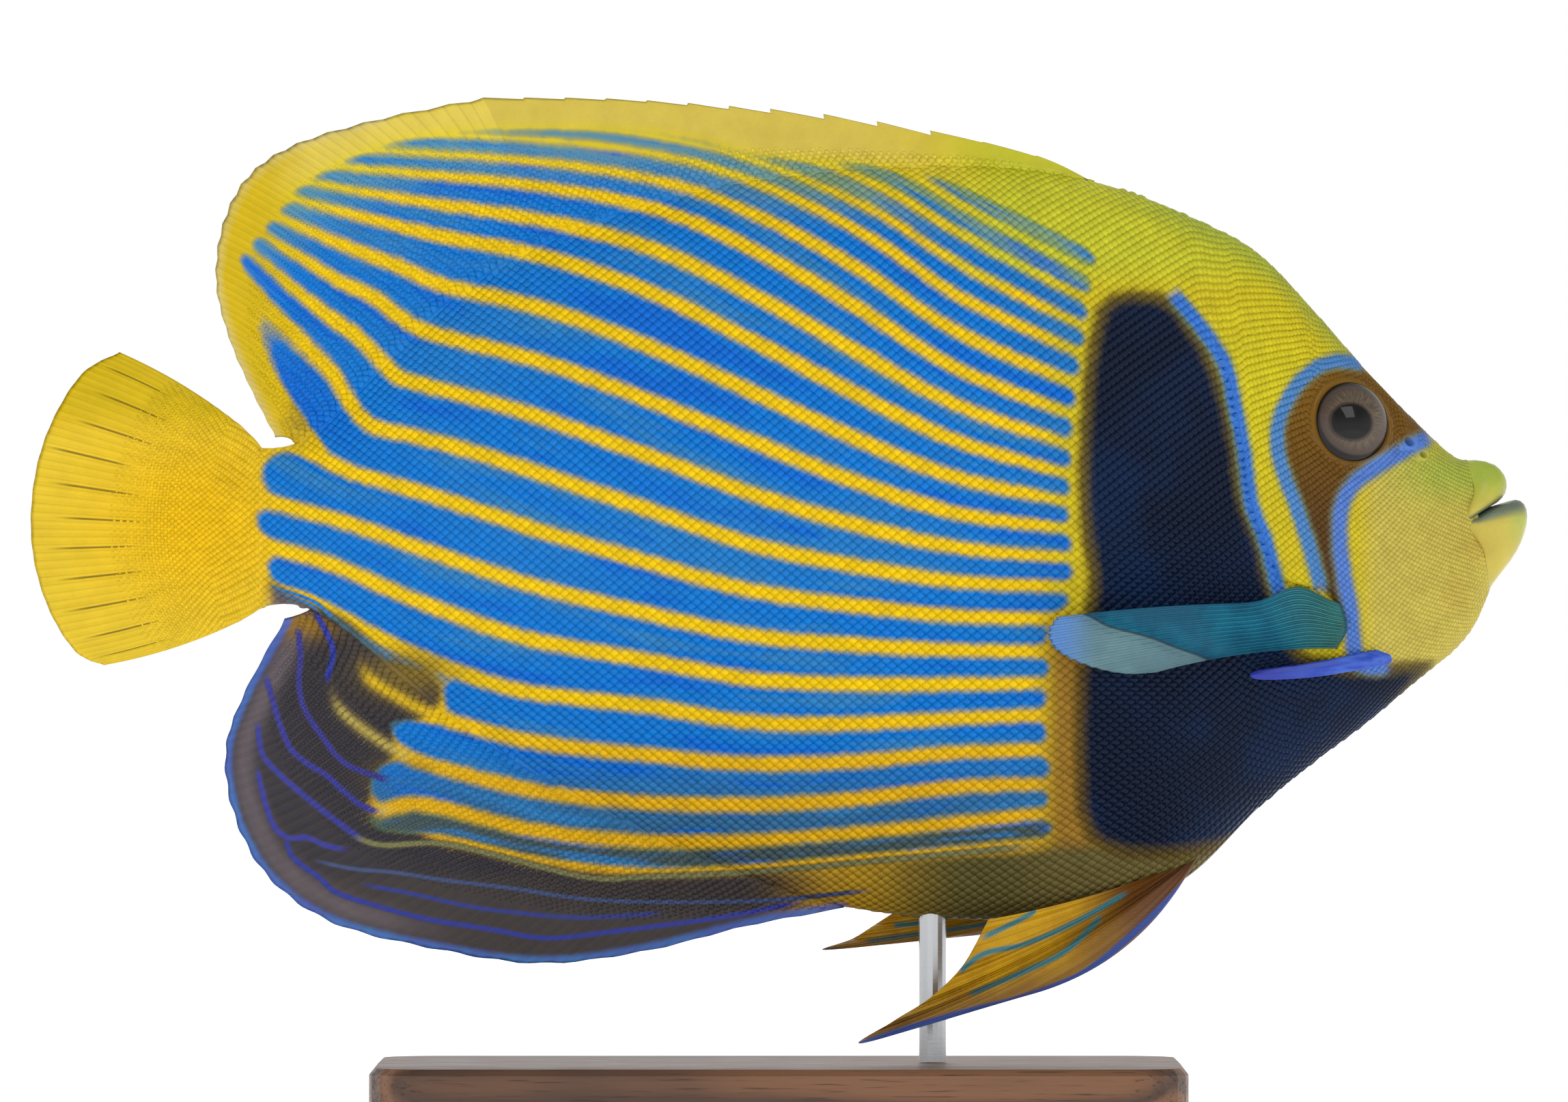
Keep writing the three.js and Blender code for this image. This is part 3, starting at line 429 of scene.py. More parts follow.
def head_relief(point):
    """How far the skin of the head stands out, for points of the bare body."""
    x, y, h = point[:, 0], point[:, 1], point[:, 2]
    away = point - eye_middle
    flat = away - (away @ eye_out)[:, None] * eye_out
    round_eye = np.hypot(flat @ eye_forward / EYE_ACROSS, flat @ eye_up / EYE_UPRIGHT)
    lift = -SOCKET_DEPTH * smooth((1.0 - round_eye) / 0.3)
    lift += SOCKET_RIM * np.exp(-((round_eye - 1.1) / 0.1) ** 2) * smooth((round_eye - 0.9) / 0.1)
    lift -= 0.25 * np.exp(-((round_eye - 1.36) / 0.1) ** 2)
    lift += 0.2 * np.exp(-((round_eye - 1.55) / 0.12) ** 2)
    for centre, radius in nostril_middles:
        distance = np.linalg.norm(point - centre, axis=1) / radius
        lift -= NOSTRIL_DEPTH * radius * np.exp(-(distance / 0.72) ** 4)
        lift += NOSTRIL_RIM * radius * np.exp(-((distance - 1.2) / 0.34) ** 2)
    edge, place = line_distance(GILL_EDGE, x, h)
    shown = smooth(place / 0.15) * smooth((1 - place) / 0.15)
    lift += shown * np.where(edge > 0, GILL_STEP * np.exp(-edge / 8) * smooth(edge / 0.7 + 0.3), 0)
    lift -= shown * np.where(edge <= 0, GILL_GROOVE * np.exp(edge / 2.2), 0)
    edge, place = line_distance(CHEEK_EDGE, x, h)
    shown = smooth(place / 0.2) * smooth((1 - place) / 0.12)
    step = smooth(edge / 2.4 + 0.5)
    rise = CHEEK_STEP * step * np.exp(-np.maximum(edge, 0) / 4)
    lift += shown * (rise - CHEEK_GROOVE * (1 - step) * np.exp(np.minimum(edge, 0) / 2))
    return lift


def on_columns(column, values):
    return np.interp(column, np.arange(COLUMNS), values)


def on_rows(row, values):
    return np.interp(row, np.arange(ROWS), values)


def tail_root(turn):
    """The ring of the body where the tail fin grows out of it, and the place across the fin's rays."""
    ring = body_point(np.zeros(len(turn)), turn)
    return ring, np.clip(0.5 - ring[:, 2] / TAIL_ROOT_HEIGHT, 0, 1)


def skin_point(column, row):
    """Places of the right half of the skin, with y as the half breadth, and the sway of its fins."""
    s, turn, out = on_columns(column, column_s), on_rows(row, row_turn), on_rows(row, row_out)
    point = body_point(s, turn)
    ridge = np.abs(np.abs(turn) - math.pi / 2) < 1e-6
    head = smooth((point[:, 0] - 78) / 30)
    body = (column >= TAIL_COLUMNS) & (column <= LAST_BODY_COLUMN) & (out == 0)
    depth = COAT_DEPTH * (1 - 0.6 * head) * smooth((1 - s) / 0.03) * smooth(s / 0.02)
    lift = np.zeros(len(s))
    face = body & (point[:, 0] > 90)
    lift[face] = head_relief(point[face])
    moved = point + body_normal(s, turn) * (lift - depth)[:, None]
    moved[:, 1] = np.where(ridge, 0, np.maximum(moved[:, 1], 0))
    point = np.where(body[:, None], moved, point)
    # The fin on the back, and the belly's
    sway = np.zeros(len(s))
    for fin, fields, last_u, rays, up in (
        (back_fin, (back_u, back_v, has_back_fin), 2, SOFT_RAYS, 1),
        (anal_fin, (belly_u, belly_v, has_anal_fin), 1, ANAL_RAYS, -1),
    ):
        u, v_start, there = (on_columns(column, field) for field in fields)
        on_side = up * turn > 0
        end = smooth((last_u - u) * (rays - 1) / 1.2)
        root_half = fin(u, v_start)[1] * end * there * (v_start < 1)
        thick = (np.maximum(point[:, 1], 0) ** 3 + root_half ** 3) ** (1 / 3)
        point[:, 1] = np.where(on_side & body, thick, point[:, 1])
        place, half, side = fin(u, v_start + (1 - v_start) * out)
        half = half * end * there * (1 - out ** 14) ** 0.5 * (v_start < 1)
        flat = point[:, [0, 2]] + (place - point[:, [0, 2]]) * (there * (v_start < 1))[:, None]
        rows = on_side & (out > 0)
        point = np.where(rows[:, None], np.stack([flat[:, 0], half, flat[:, 1]], -1), point)
        sway = np.where(rows, side * smooth(out / 0.3) * there, sway)
    # The tail fin, whose rays run on from the rows of the body
    tail = column < TAIL_COLUMNS
    w = np.clip(1 - column / TAIL_COLUMNS, 0, 1) ** 0.9
    ring, u_tail = tail_root(turn)
    place, half, side = tail_fin(u_tail, 0.06 + 0.94 * w)
    share = smooth(w / 0.16)
    close = (1 - np.abs(2 * u_tail - 1) ** 16) ** 0.5 * (1 - w ** 18) ** 0.5
    half = np.where(ridge, 0, (ring[:, 1] * (1 - share) + half * share) * close)
    flat = ring[:, [0, 2]] + (place - ring[:, [0, 2]]) * share[:, None]
    point = np.where(tail[:, None], np.stack([flat[:, 0], half, flat[:, 1]], -1), point)
    sway = np.where(tail, side, sway)
    # The lips and the inside of the mouth
    q = np.clip((column - LAST_BODY_COLUMN) / LIP_COLUMNS, 0, 1)
    upper = turn > MOUTH_TURN
    reach = np.abs(turn - MOUTH_TURN) / (math.pi / 2 - np.where(upper, MOUTH_TURN, -MOUTH_TURN))
    round_mouth = np.clip(reach, 0, 1) * math.pi / 2
    upper_lip, lower_lip = (
        lip_point(lip, round_mouth, np.radians(np.interp(q, [0, 0.85, 1], angles)))
        for lip, angles in ((UPPER_LIP, [108, -115, -150]), (LOWER_LIP, [-80, 120, 150]))
    )
    lip = np.where(upper[:, None], upper_lip, lower_lip)
    ring = body_point(np.ones(len(s)), turn)
    corner = MOUTH_CORNER + (THROAT - MOUTH_CORNER) * smooth((q - 0.3) / 0.7)[:, None]
    lip = corner + (lip - corner) * smooth(round_mouth / 0.3)[:, None]
    lip = lip + (THROAT - lip) * smooth((q - 0.78) / 0.22)[:, None]
    lip = ring + (lip - ring) * smooth(q / 0.22)[:, None]
    lip[ridge, 1] = 0
    return np.where((column > LAST_BODY_COLUMN)[:, None], lip, point), sway


WELD = 2e-6


def mirrored(mesh, merge):
    """Joins the half of a shape that lies on the fish's right to its mirror image."""
    flat_faces = [face for face in mesh.faces if all(abs(vert.co.y) < 1e-6 for vert in face.verts)]
    bmesh.ops.delete(mesh, geom=flat_faces, context="FACES")
    whole = mesh.verts[:] + mesh.edges[:] + mesh.faces[:]
    bmesh.ops.mirror(mesh, geom=whole, matrix=Matrix(), merge_dist=merge, axis="Y")
    bmesh.ops.remove_doubles(mesh, verts=mesh.verts, dist=WELD)
    bmesh.ops.recalc_face_normals(mesh, faces=mesh.faces)


def finished(mesh, name, *paints):
    """The object of a shape, with its faces smooth."""
    for face in mesh.faces:
        face.smooth = True
    data = bpy.data.meshes.new(name)
    mesh.to_mesh(data)
    mesh.free()
    for paint in paints:
        data.materials.append(paint)
    return placed(name, data)


skin_mesh = bmesh.new()
bmesh.ops.create_grid(skin_mesh, x_segments=COLUMNS - 1, y_segments=ROWS - 1, size=1)
column_layer, row_layer, sway_layer = (
    skin_mesh.verts.layers.float.new(name) for name in ("column", "row", "sway")
)
for vert in skin_mesh.verts:
    vert[column_layer] = (vert.co.x + 1) / 2 * (COLUMNS - 1)
    vert[row_layer] = (1 - vert.co.y) / 2 * (ROWS - 1)


def grid_places():
    return (np.array([vert[layer] for vert in skin_mesh.verts]) for layer in (column_layer, row_layer))


def near_nostril(place, radii):
    """Whether places lie within so many radii of a nostril, seen from the side."""
    within = [np.hypot(place[:, 0] - x, place[:, 2] - h) < radii * radius for x, h, radius in NOSTRILS]
    return np.any(within, 0)


# The face is made finer twice round the eyes, the nostrils and the gill cover
FIRST_FACE_COLUMN = TAIL_COLUMNS + 120
for _ in range(2):
    columns, rows = grid_places()
    on_body = (columns > FIRST_FACE_COLUMN) & (columns < LAST_BODY_COLUMN)
    on_body &= (rows > FIN_ROWS + 2) & (rows < FIN_ROWS + BODY_ROWS - 3)
    place = body_point(on_columns(columns, column_s), on_rows(rows, row_turn))
    eye_gap = np.linalg.norm(place - eye_middle, axis=1)
    near = (eye_gap > 6.5) & (eye_gap < 12.5)
    near |= np.abs(line_distance(GILL_EDGE, place[:, 0], place[:, 2], open_ends=False)[0]) < 2.2
    near = (near | near_nostril(place, 2.6)) & on_body
    skin_mesh.verts.ensure_lookup_table()
    chosen = [edge for edge in skin_mesh.edges if near[edge.verts[0].index] and near[edge.verts[1].index]]
    bmesh.ops.subdivide_edges(skin_mesh, edges=chosen, cuts=1, use_grid_fill=True)
    skin_mesh.verts.index_update()

for vert, place, sway in zip(skin_mesh.verts, *skin_point(*grid_places())):
    vert.co = (place[0] * MM, -place[1] * MM, (MIDLINE + place[2]) * MM)
    vert[sway_layer] = sway
bmesh.ops.remove_doubles(skin_mesh, verts=skin_mesh.verts, dist=WELD)
mirrored(skin_mesh, 1e-7)
for vert in skin_mesh.verts:
    vert.co.y += vert[sway_layer] * MM
skin = finished(skin_mesh, "skin")
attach(skin, "root")
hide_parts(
    "head", "torso", "caudal_peduncle", "upper_lip", "lower_lip", "gill_cover_right",
    "gill_cover_left", "dorsal_fin_spiny", "dorsal_fin_soft", "anal_fin", "caudal_fin",
)

# The markings, drawn over the side of the fish with a brush: blue bands between yellow stripes, a dark
# bar, a brown mask, blue lines on the head and violet ones on the anal fin. Lines and outlines are
# given in pixels of the drawing, and skin and scales take their values from one net over the side.
#
# Every stripe has a number, counted upwards from the thin line in the dark of the anal fin. Between
# these guide lines the numbers run on evenly, so a whole number is the middle of a yellow stripe.
STRIPE_GUIDES = {
    -3: [(1500, 1330), (1250, 1340), (1050, 1345), (900, 1362), (800, 1374), (700, 1362), (550, 1325),
         (470, 1290), (422, 1250), (395, 1200), (378, 1135), (370, 1050), (380, 960)],
    -1: [(1500, 1283), (1250, 1297), (1060, 1318), (950, 1320), (850, 1315), (750, 1300), (650, 1287),
         (560, 1272), (475, 1258), (425, 1215), (398, 1160), (379, 1090), (373, 1010), (385, 930)],
    0: [(1500, 1236), (1300, 1255), (1100, 1274), (950, 1281), (800, 1268), (720, 1250), (650, 1234),
        (550, 1236), (500, 1208), (450, 1165), (400, 1120), (382, 1065), (378, 1000), (392, 925)],
    1: [(1500, 1192), (1300, 1214), (1100, 1230), (950, 1232), (800, 1219), (700, 1197), (610, 1176),
        (545, 1188), (500, 1155), (445, 1112), (412, 1060), (392, 1000), (402, 920)],
    2: [(1550, 1147), (1400, 1150), (1250, 1169), (1100, 1177), (950, 1175), (800, 1161), (650, 1126),
        (600, 1109), (550, 1079), (500, 1040), (478, 1000), (470, 950), (468, 900)],
    4: [(1550, 1044), (1400, 1050), (1250, 1058), (1100, 1056), (950, 1033), (850, 1022), (750, 1008),
        (650, 975), (550, 932), (500, 905), (450, 881), (400, 866)],
    6: [(1550, 953), (1400, 951), (1250, 943), (1100, 930), (950, 898), (800, 862), (700, 831),
        (600, 797), (500, 763), (400, 737)],
    8: [(1550, 858), (1400, 851), (1250, 828), (1100, 797), (950, 746), (800, 696), (700, 664),
        (600, 637), (545, 624), (515, 592), (490, 548), (450, 505), (400, 455), (370, 420)],
    10: [(1550, 772), (1400, 752), (1250, 705), (1100, 646), (950, 587), (800, 532), (650, 493),
         (600, 474), (550, 437), (500, 413), (450, 383), (400, 352)],
    12: [(1550, 691), (1400, 646), (1250, 576), (1100, 499), (950, 427), (800, 376), (650, 345),
         (550, 321), (450, 295), (380, 275)],
    14: [(1550, 601), (1400, 541), (1250, 448), (1100, 364), (1000, 318), (900, 290), (750, 266),
         (600, 252), (500, 243), (400, 228)],
    16: [(1550, 504), (1400, 433), (1300, 364), (1200, 307), (1100, 264), (1000, 232), (850, 208),
         (650, 196), (450, 188)],
    18: [(1550, 419), (1400, 340), (1300, 280), (1200, 238), (1100, 205), (950, 175), (800, 160),
         (450, 150)],
}
BANDS_TOP = [
    (462, 652), (440, 610), (405, 545), (378, 488), (352, 425), (350, 385), (375, 350), (398, 325),
    (420, 298), (445, 270), (500, 240), (560, 216), (650, 197), (850, 190), (1000, 203), (1120, 232),
    (1250, 240), (1350, 255), (1450, 290), (1560, 340), (1600, 370),
]
BANDS_FRONT = [
    (1600, 370), (1592, 430), (1588, 480), (1578, 540), (1570, 600), (1565, 680), (1563, 760),
    (1568, 830), (1562, 880), (1530, 930), (1535, 985), (1528, 1040), (1535, 1120), (1532, 1180),
    (1520, 1240),
]
BANDS_FOOT = [
    (1520, 1240), (1300, 1252), (1100, 1272), (950, 1280), (800, 1262), (650, 1228), (560, 1215),
    (535, 1180), (545, 1140), (570, 1100), (575, 1060), (640, 1040), (645, 995), (560, 960), (500, 912),
    (440, 885), (398, 860),
]
BANDS_TAIL = [(398, 860), (392, 815), (378, 770), (378, 715), (392, 672), (425, 648), (462, 652)]
DARK_BAR = [
    (1605, 452), (1590, 520), (1581, 600), (1577, 708), (1583, 790), (1592, 850), (1585, 900),
    (1575, 980), (1572, 1100), (1580, 1200), (1620, 1245), (1700, 1255), (1800, 1240), (1900, 1200),
    (2000, 1110), (2090, 985), (2080, 968), (2003, 974), (1950, 968), (1900, 950), (1868, 880),
    (1850, 800), (1824, 734), (1812, 657), (1800, 600), (1780, 535), (1748, 480), (1716, 440),
    (1668, 427), (1628, 433),
]
MASK = [
    (2060, 590), (1995, 533), (1949, 530), (1908, 552), (1878, 594), (1867, 635), (1872, 680),
    (1893, 738), (1912, 795), (1931, 862), (1962, 900), (1976, 890), (1964, 840), (1958, 790),
    (1962, 738), (1987, 702), (2036, 670), (2092, 639),
]
# Thin lines, three to a set, each with half its width in millimetres, its colour and that of its rim
LINE_SETS = {
    "head": [
        ([(1716, 432), (1755, 479), (1791, 535), (1806, 600), (1818, 660), (1828, 734), (1852, 800),
          (1870, 872)], 1.75, (54, 116, 204), (92, 132, 120)),
        (MASK[1:10], 1.75, (76, 130, 190), (112, 134, 104)),
        (MASK[:11:-1] + [(1974, 890), (1986, 968), (2030, 975)], 1.95, (84, 124, 200), (112, 130, 122)),
    ],
    "anal_rear": [
        ([(463, 900), (478, 925), (488, 955), (479, 994)], 0.7, (46, 58, 156), (56, 56, 96)),
        ([(437, 922), (440, 960), (438, 1000), (446, 1038), (470, 1075), (495, 1108), (520, 1125),
          (566, 1141)], 0.7, (58, 58, 140), (60, 57, 92)),
        ([(390, 992), (398, 1020), (410, 1060), (426, 1096), (448, 1116), (480, 1136), (502, 1157),
          (528, 1178), (552, 1188)], 0.7, (56, 58, 146), (60, 58, 96)),
    ],
    "anal_fan": [
        ([(378, 1062), (383, 1100), (400, 1124), (440, 1160), (470, 1184), (500, 1207), (532, 1230)],
         0.7, (54, 58, 146), (60, 58, 96)),
        ([(378, 1130), (388, 1172), (402, 1210), (424, 1227), (450, 1225), (478, 1238), (506, 1243)],
         0.65, (54, 58, 150), (62, 60, 100)),
        ([(420, 1232), (430, 1256), (470, 1286), (492, 1306), (560, 1328), (630, 1346), (720, 1360),
          (800, 1373), (900, 1363), (1060, 1342), (1160, 1322)], 0.6, (44, 56, 150), (56, 56, 96)),
    ],
    "anal_long": [
        ([(1500, 1238), (1300, 1257), (1100, 1276), (950, 1283), (860, 1284), (720, 1250), (640, 1234),
          (560, 1237), (524, 1226)], 0.7, (122, 122, 80), (84, 78, 54)),
        ([(472, 1262), (520, 1272), (580, 1277), (650, 1288), (750, 1300), (850, 1315), (950, 1320),
          (1120, 1318), (1260, 1304)], 0.5, (64, 80, 122), (62, 62, 76)),
        ([(538, 1296), (600, 1307), (680, 1325), (750, 1335), (850, 1343), (960, 1337)],
         0.55, (46, 58, 134), (58, 58, 84)),
    ],
}


def from_drawing(points):
    """Millimetres of the side view from pixels of the drawing."""
    return (np.asarray(points, float) - MIDLINE_PIXEL) * (PIXEL, -PIXEL)


def tint(red, green, blue):
    """A colour for Blender's shaders from its levels on the screen, 0 to 255."""
    level = np.array([red, green, blue]) / 255
    return np.where(level <= 0.04045, level / 12.92, ((level + 0.055) / 1.055) ** 2.4)


NET = 1.0
net_x = np.arange(-184, 184, NET)
net_h = np.arange(-130, 112, NET)
side_x, side_h = np.meshgrid(net_x, net_h, indexing="ij")
side_px = side_x / PIXEL + MIDLINE_PIXEL[0]
side_py = MIDLINE_PIXEL[1] - side_h / PIXEL


def off_net(values, x, h):
    """Values of the net at places of the side view."""
    i = np.clip((x - net_x[0]) / NET, 0, len(net_x) - 1.001)
    j = np.clip((h - net_h[0]) / NET, 0, len(net_h) - 1.001)
    a, b = i.astype(int), j.astype(int)
    s, t = i - a, j - b
    if values.ndim == 3:
        s, t = s[:, None], t[:, None]
    low = values[a, b] * (1 - s) + values[a + 1, b] * s
    high = values[a, b + 1] * (1 - s) + values[a + 1, b + 1] * s
    return low * (1 - t) + high * t


def softened(values, rounds):
    """The same values with their corners rounded off."""
    for _ in range(rounds):
        wide = np.pad(values, 1, mode="edge")
        beside = wide[:-2, 1:-1] + wide[2:, 1:-1] + wide[1:-1, :-2] + wide[1:-1, 2:]
        values = (values * 2 + beside) / 6
    return values


def inside(outline, samples=90):
    """Signed distance to a closed outline, positive inside it."""
    line = from_drawing(outline + outline[:1])
    away, _ = line_distance(line, side_x, side_h, samples, open_ends=False)
    edge = through(line, np.linspace(0, 1, samples))
    within = np.zeros(side_x.shape, bool)
    for (ax, ah), (bx, bh) in zip(edge[:-1], edge[1:]):
        if ah != bh:
            crosses = (ah > side_h) != (bh > side_h)
            within ^= crosses & (side_x < (bx - ax) * (side_h - ah) / (bh - ah) + ax)
    return np.where(within, np.abs(away), -np.abs(away))


numbers = sorted(STRIPE_GUIDES)
gaps = [-line_distance(from_drawing(STRIPE_GUIDES[k]), side_x, side_h, 44)[0] for k in numbers]
stripe = numbers[-1] + gaps[-1] / 6
spacing = np.full(side_x.shape, 7.0)
settled = gaps[-1] >= 0
for k in range(len(numbers) - 1)[::-1]:
    step = numbers[k + 1] - numbers[k]
    between = ~settled & (gaps[k] >= 0)
    width = np.maximum(gaps[k] - gaps[k + 1], 0.5)
    stripe = np.where(between, numbers[k] + step * gaps[k] / width, stripe)
    spacing = np.where(between, width / step, spacing)
    settled |= between
stripe = softened(np.where(settled, stripe, numbers[0] + gaps[0] / 6), 2)
spacing = softened(np.clip(spacing, 3, 14), 8)
bands = inside(BANDS_TOP + BANDS_FRONT[1:] + BANDS_FOOT[1:] + BANDS_TAIL[1:-1], 150)
below_foot = line_distance(from_drawing(BANDS_FOOT), side_x, side_h, 60)[0]
above_top = line_distance(from_drawing(BANDS_TOP[9:]), side_x, side_h, 40)[0]
bar = inside(DARK_BAR)
mask = inside(MASK)
anal_margin = np.abs(line_distance(ANAL_EDGE, side_x, side_h, 60, open_ends=False)[0])
line_away, line_strength = {}, {}
for name, lines in LINE_SETS.items():
    away, strength = [], []
    for points, half, _, _ in lines:
        distance, place = line_distance(from_drawing(points), side_x, side_h, 50)
        away.append(distance / half)
        strength.append(smooth(place / 0.06 + 0.5) * smooth((1 - place) / 0.06 + 0.5))
    line_away[name] = np.stack(away, -1)
    line_strength[name] = np.stack(strength, -1)


def spot(x, y, wide, high):
    """A soft round spot, 1 in its middle."""
    return np.exp(-((side_px - x) / wide) ** 2 - ((side_py - y) / high) ** 2)


def past_x(x, step):
    """1 in front of a line across the drawing, with a soft step, or behind it where the step is negative."""
    return smooth((side_px - x) / step)


def past_y(y, step):
    """The same below a level line, or above it where the step is negative."""
    return smooth((side_py - y) / step)


def painted(base, layers):
    """A colour with others laid over it, each as thick as its share, 0 to 1."""
    ground = np.zeros(side_x.shape + (3,)) + tint(*base)
    for colour, share in layers:
        ground = ground + (tint(*colour) - ground) * np.clip(share, 0, 1)[..., None]
    return ground


soft_edge_gap = np.abs(line_distance(SOFT_EDGE[1:], side_x, side_h, 50, open_ends=False)[0])
near_back = smooth(1 - (np.interp(side_x, back_x, back_h) - side_h) / 8)
near_margin = np.exp(-((anal_margin - 4.6) / 2.6) ** 2)
on_tail = past_x(408, -30) * past_y(590, 60) * smooth((1322 - side_px - side_py) / 14)
dark_foot = smooth((below_foot + 2.2 * past_x(650, -50)) / 2.4 + 0.2)
# The stripes run on as thin lines where the bands end in the dark of the anal fin
threads = [
    (colour, np.exp(-((stripe - number) * spacing / thick) ** 2) * past_x(first, 26) * past_x(last, -80)
     * smooth(below_foot / 2 + 3))
    for number, thick, first, last, colour in (
        (3, 1.15, 520, 700, (232, 192, 16)), (2, 0.95, 478, 660, (200, 178, 84)),
        (1, 0.8, 530, 790, (192, 174, 92)),
    )
]
ground = painted((238, 198, 0), [
    ((226, 176, 14), past_y(1000, 160)),
    ((214, 200, 40), smooth((above_top + 14) / 16) * 0.8),
    ((218, 195, 78), smooth((above_top + 1) / 4) * past_x(1500, -260)),
    ((207, 176, 2), past_x(480, -110) * past_y(690, -60)),
    ((206, 190, 120), smooth((2.2 - soft_edge_gap) / 1.6) * 0.75),
    ((150, 128, 40), spot(440, 618, 26, 34) * 0.75),
    ((204, 184, 26), past_x(1500, 70)),
    ((198, 197, 44), past_x(1330, 160) * past_y(440, -60)),
    ((206, 194, 28), spot(1850, 560, 100, 170) * 0.9),
    ((150, 172, 62), past_x(1560, 200) * past_x(2080, -60) * near_back * 0.6),
    ((194, 178, 78), past_x(1975, 46) * past_y(640, 40)),
    ((164, 182, 68), spot(2110, 690, 62, 40) * 0.8 + spot(2190, 690, 44, 34) * 0.85),
    ((174, 186, 84), past_x(2196, 30) * past_y(820, -60) * 0.75),
    ((176, 140, 52), (spot(2160, 800, 34, 26) + spot(2128, 866, 22, 30)) * 0.32),
    ((150, 112, 34), past_x(1505, 50) * past_x(1650, -60) * past_y(880, 50)),
    ((52, 49, 55), dark_foot * past_x(1300, -240)),
    ((90, 84, 42), smooth((below_foot + 0.5) / 2.4) * past_x(1120, 300)),
    ((102, 92, 48), past_x(1440, 120) * past_y(1215, 50)),
    ((62, 56, 56), past_x(1250, -200) * past_y(1272, 20)),
    ((104, 94, 100), near_margin * past_x(700, -180) * 0.8),
    ((150, 112, 12), spot(448, 912, 52, 22) * smooth(below_foot / 2) * 0.9),
    ((235, 188, 0), on_tail),
    ((221, 193, 48), (1 - spot(280, 760, 170, 150)) * on_tail * 0.85),
    ((128, 106, 38), spot(606, 984, 66, 36) * 0.95 + spot(592, 1134, 44, 20) * 0.9),
] + threads)
band_blue = painted((0, 117, 206), [
    ((46, 128, 186), spot(1120, 790, 330, 60) * 0.5 + spot(700, 500, 160, 70) * 0.35),
    ((40, 110, 160), past_x(1430, 160) * 0.45),
    ((92, 148, 160), smooth((above_top + 17) / 15) * 0.85),
    ((134, 160, 104), smooth((above_top + 14) / 11) * past_x(1000, 260) * 0.85),
    ((52, 104, 140), past_y(1080, 120) * 0.85),
    ((70, 84, 78), smooth((1.15 - stripe) / 0.3) * 0.9),
])
brush = {
    "stripe": stripe, "spacing": spacing, "bands": bands, "bar": bar, "mask": mask, "margin": anal_margin,
}
for name in LINE_SETS:
    brush[name + "_away"], brush[name + "_strength"] = line_away[name], line_strength[name]
brush["ground"], brush["band_blue"] = ground, band_blue
brush_net = [np.reshape(values, side_x.shape + (-1,)) for values in brush.values()]
brush_net = np.concatenate(brush_net, -1).astype(np.float32)


def give(data, name, values, kind="FLOAT"):
    """Gives each point of a mesh its value of a new attribute."""
    field = "value" if kind == "FLOAT" else "vector"
    part = np.ascontiguousarray(values, dtype=np.float32).ravel()
    data.attributes.new(name, kind, "POINT").data.foreach_set(field, part)


def take_markings(data, x, h):
    """Gives each point of a mesh the values of the markings at its place of the side view."""
    taken, first = off_net(brush_net, x, h), 0
    for name, values in brush.items():
        kind, count = ("FLOAT", 1) if values.ndim == 2 else ("FLOAT_VECTOR", 3)
        give(data, name, taken[:, first:first + count], kind)
        first += count


def node(tree, kind, inputs=None, **settings):
    """A shader node with its settings, whose inputs are set to values or linked to sockets."""
    made = tree.nodes.new("ShaderNode" + kind)
    for name, value in settings.items():
        setattr(made, name, value)
    for key, value in (inputs or {}).items():
        if isinstance(value, bpy.types.NodeSocket):
            tree.links.new(value, made.inputs[key])
        else:
            made.inputs[key].default_value = value
    return made


def calc(operation, *values):
    """The result of a math node, in the tree of its first socket."""
    tree = next(value for value in values if isinstance(value, bpy.types.NodeSocket)).id_data
    return node(tree, "Math", dict(enumerate(values)), operation=operation).outputs[0]


def plus(first, second):
    return calc("ADD", first, second)


def less(first, second):
    return calc("SUBTRACT", first, second)


def times(first, *others):
    for other in others:
        first = calc("MULTIPLY", first, other)
    return first


def hypotenuse(first, second):
    """The long side of a right triangle."""
    return calc("SQRT", plus(times(first, first), times(second, second)))


def off_middle(value):
    """How far a value lies from the middle between two whole numbers."""
    return calc("ABSOLUTE", less(calc("FRACT", value), 0.5))


def ramp(value, low, high):
    """A soft step of a value from 0 at low to 1 at high."""
    made = node(value.id_data, "MapRange", {"Value": value, "From Min": low, "From Max": high},
                interpolation_type="SMOOTHSTEP")
    return made.outputs["Result"]


def blend(share, under, over):
    """One colour over another. Plain colours are given as levels on the screen."""
    made = node(share.id_data, "Mix", {"Factor": share}, data_type="RGBA")
    for socket, value in zip(made.inputs[6:8], (under, over)):
        if isinstance(value, tuple):
            socket.default_value = (*tint(*value), 1)
        else:
            share.id_data.links.new(value, socket)
    return made.outputs[2]


def value_of(tree, name, output="Fac"):
    """The output of a node that reads an attribute of the mesh."""
    return node(tree, "Attribute", attribute_name=name).outputs[output]


def parts_of(tree, vector):
    """The three numbers of a vector."""
    return node(tree, "SeparateXYZ", {"Vector": vector}).outputs


def noise(place, scale, detail=3.0, roughness=0.55):
    """A noise between 0 and 1."""
    inputs = {"Vector": place, "Scale": scale, "Detail": detail, "Roughness": roughness}
    return node(place.id_data, "TexNoise", inputs).outputs["Fac"]


def stretched(place, *scale, shift=(0, 0, 0)):
    """Places with their own scale along each axis."""
    inputs = {"Vector": place, "Location": shift, "Scale": scale}
    return node(place.id_data, "Mapping", inputs).outputs["Vector"]


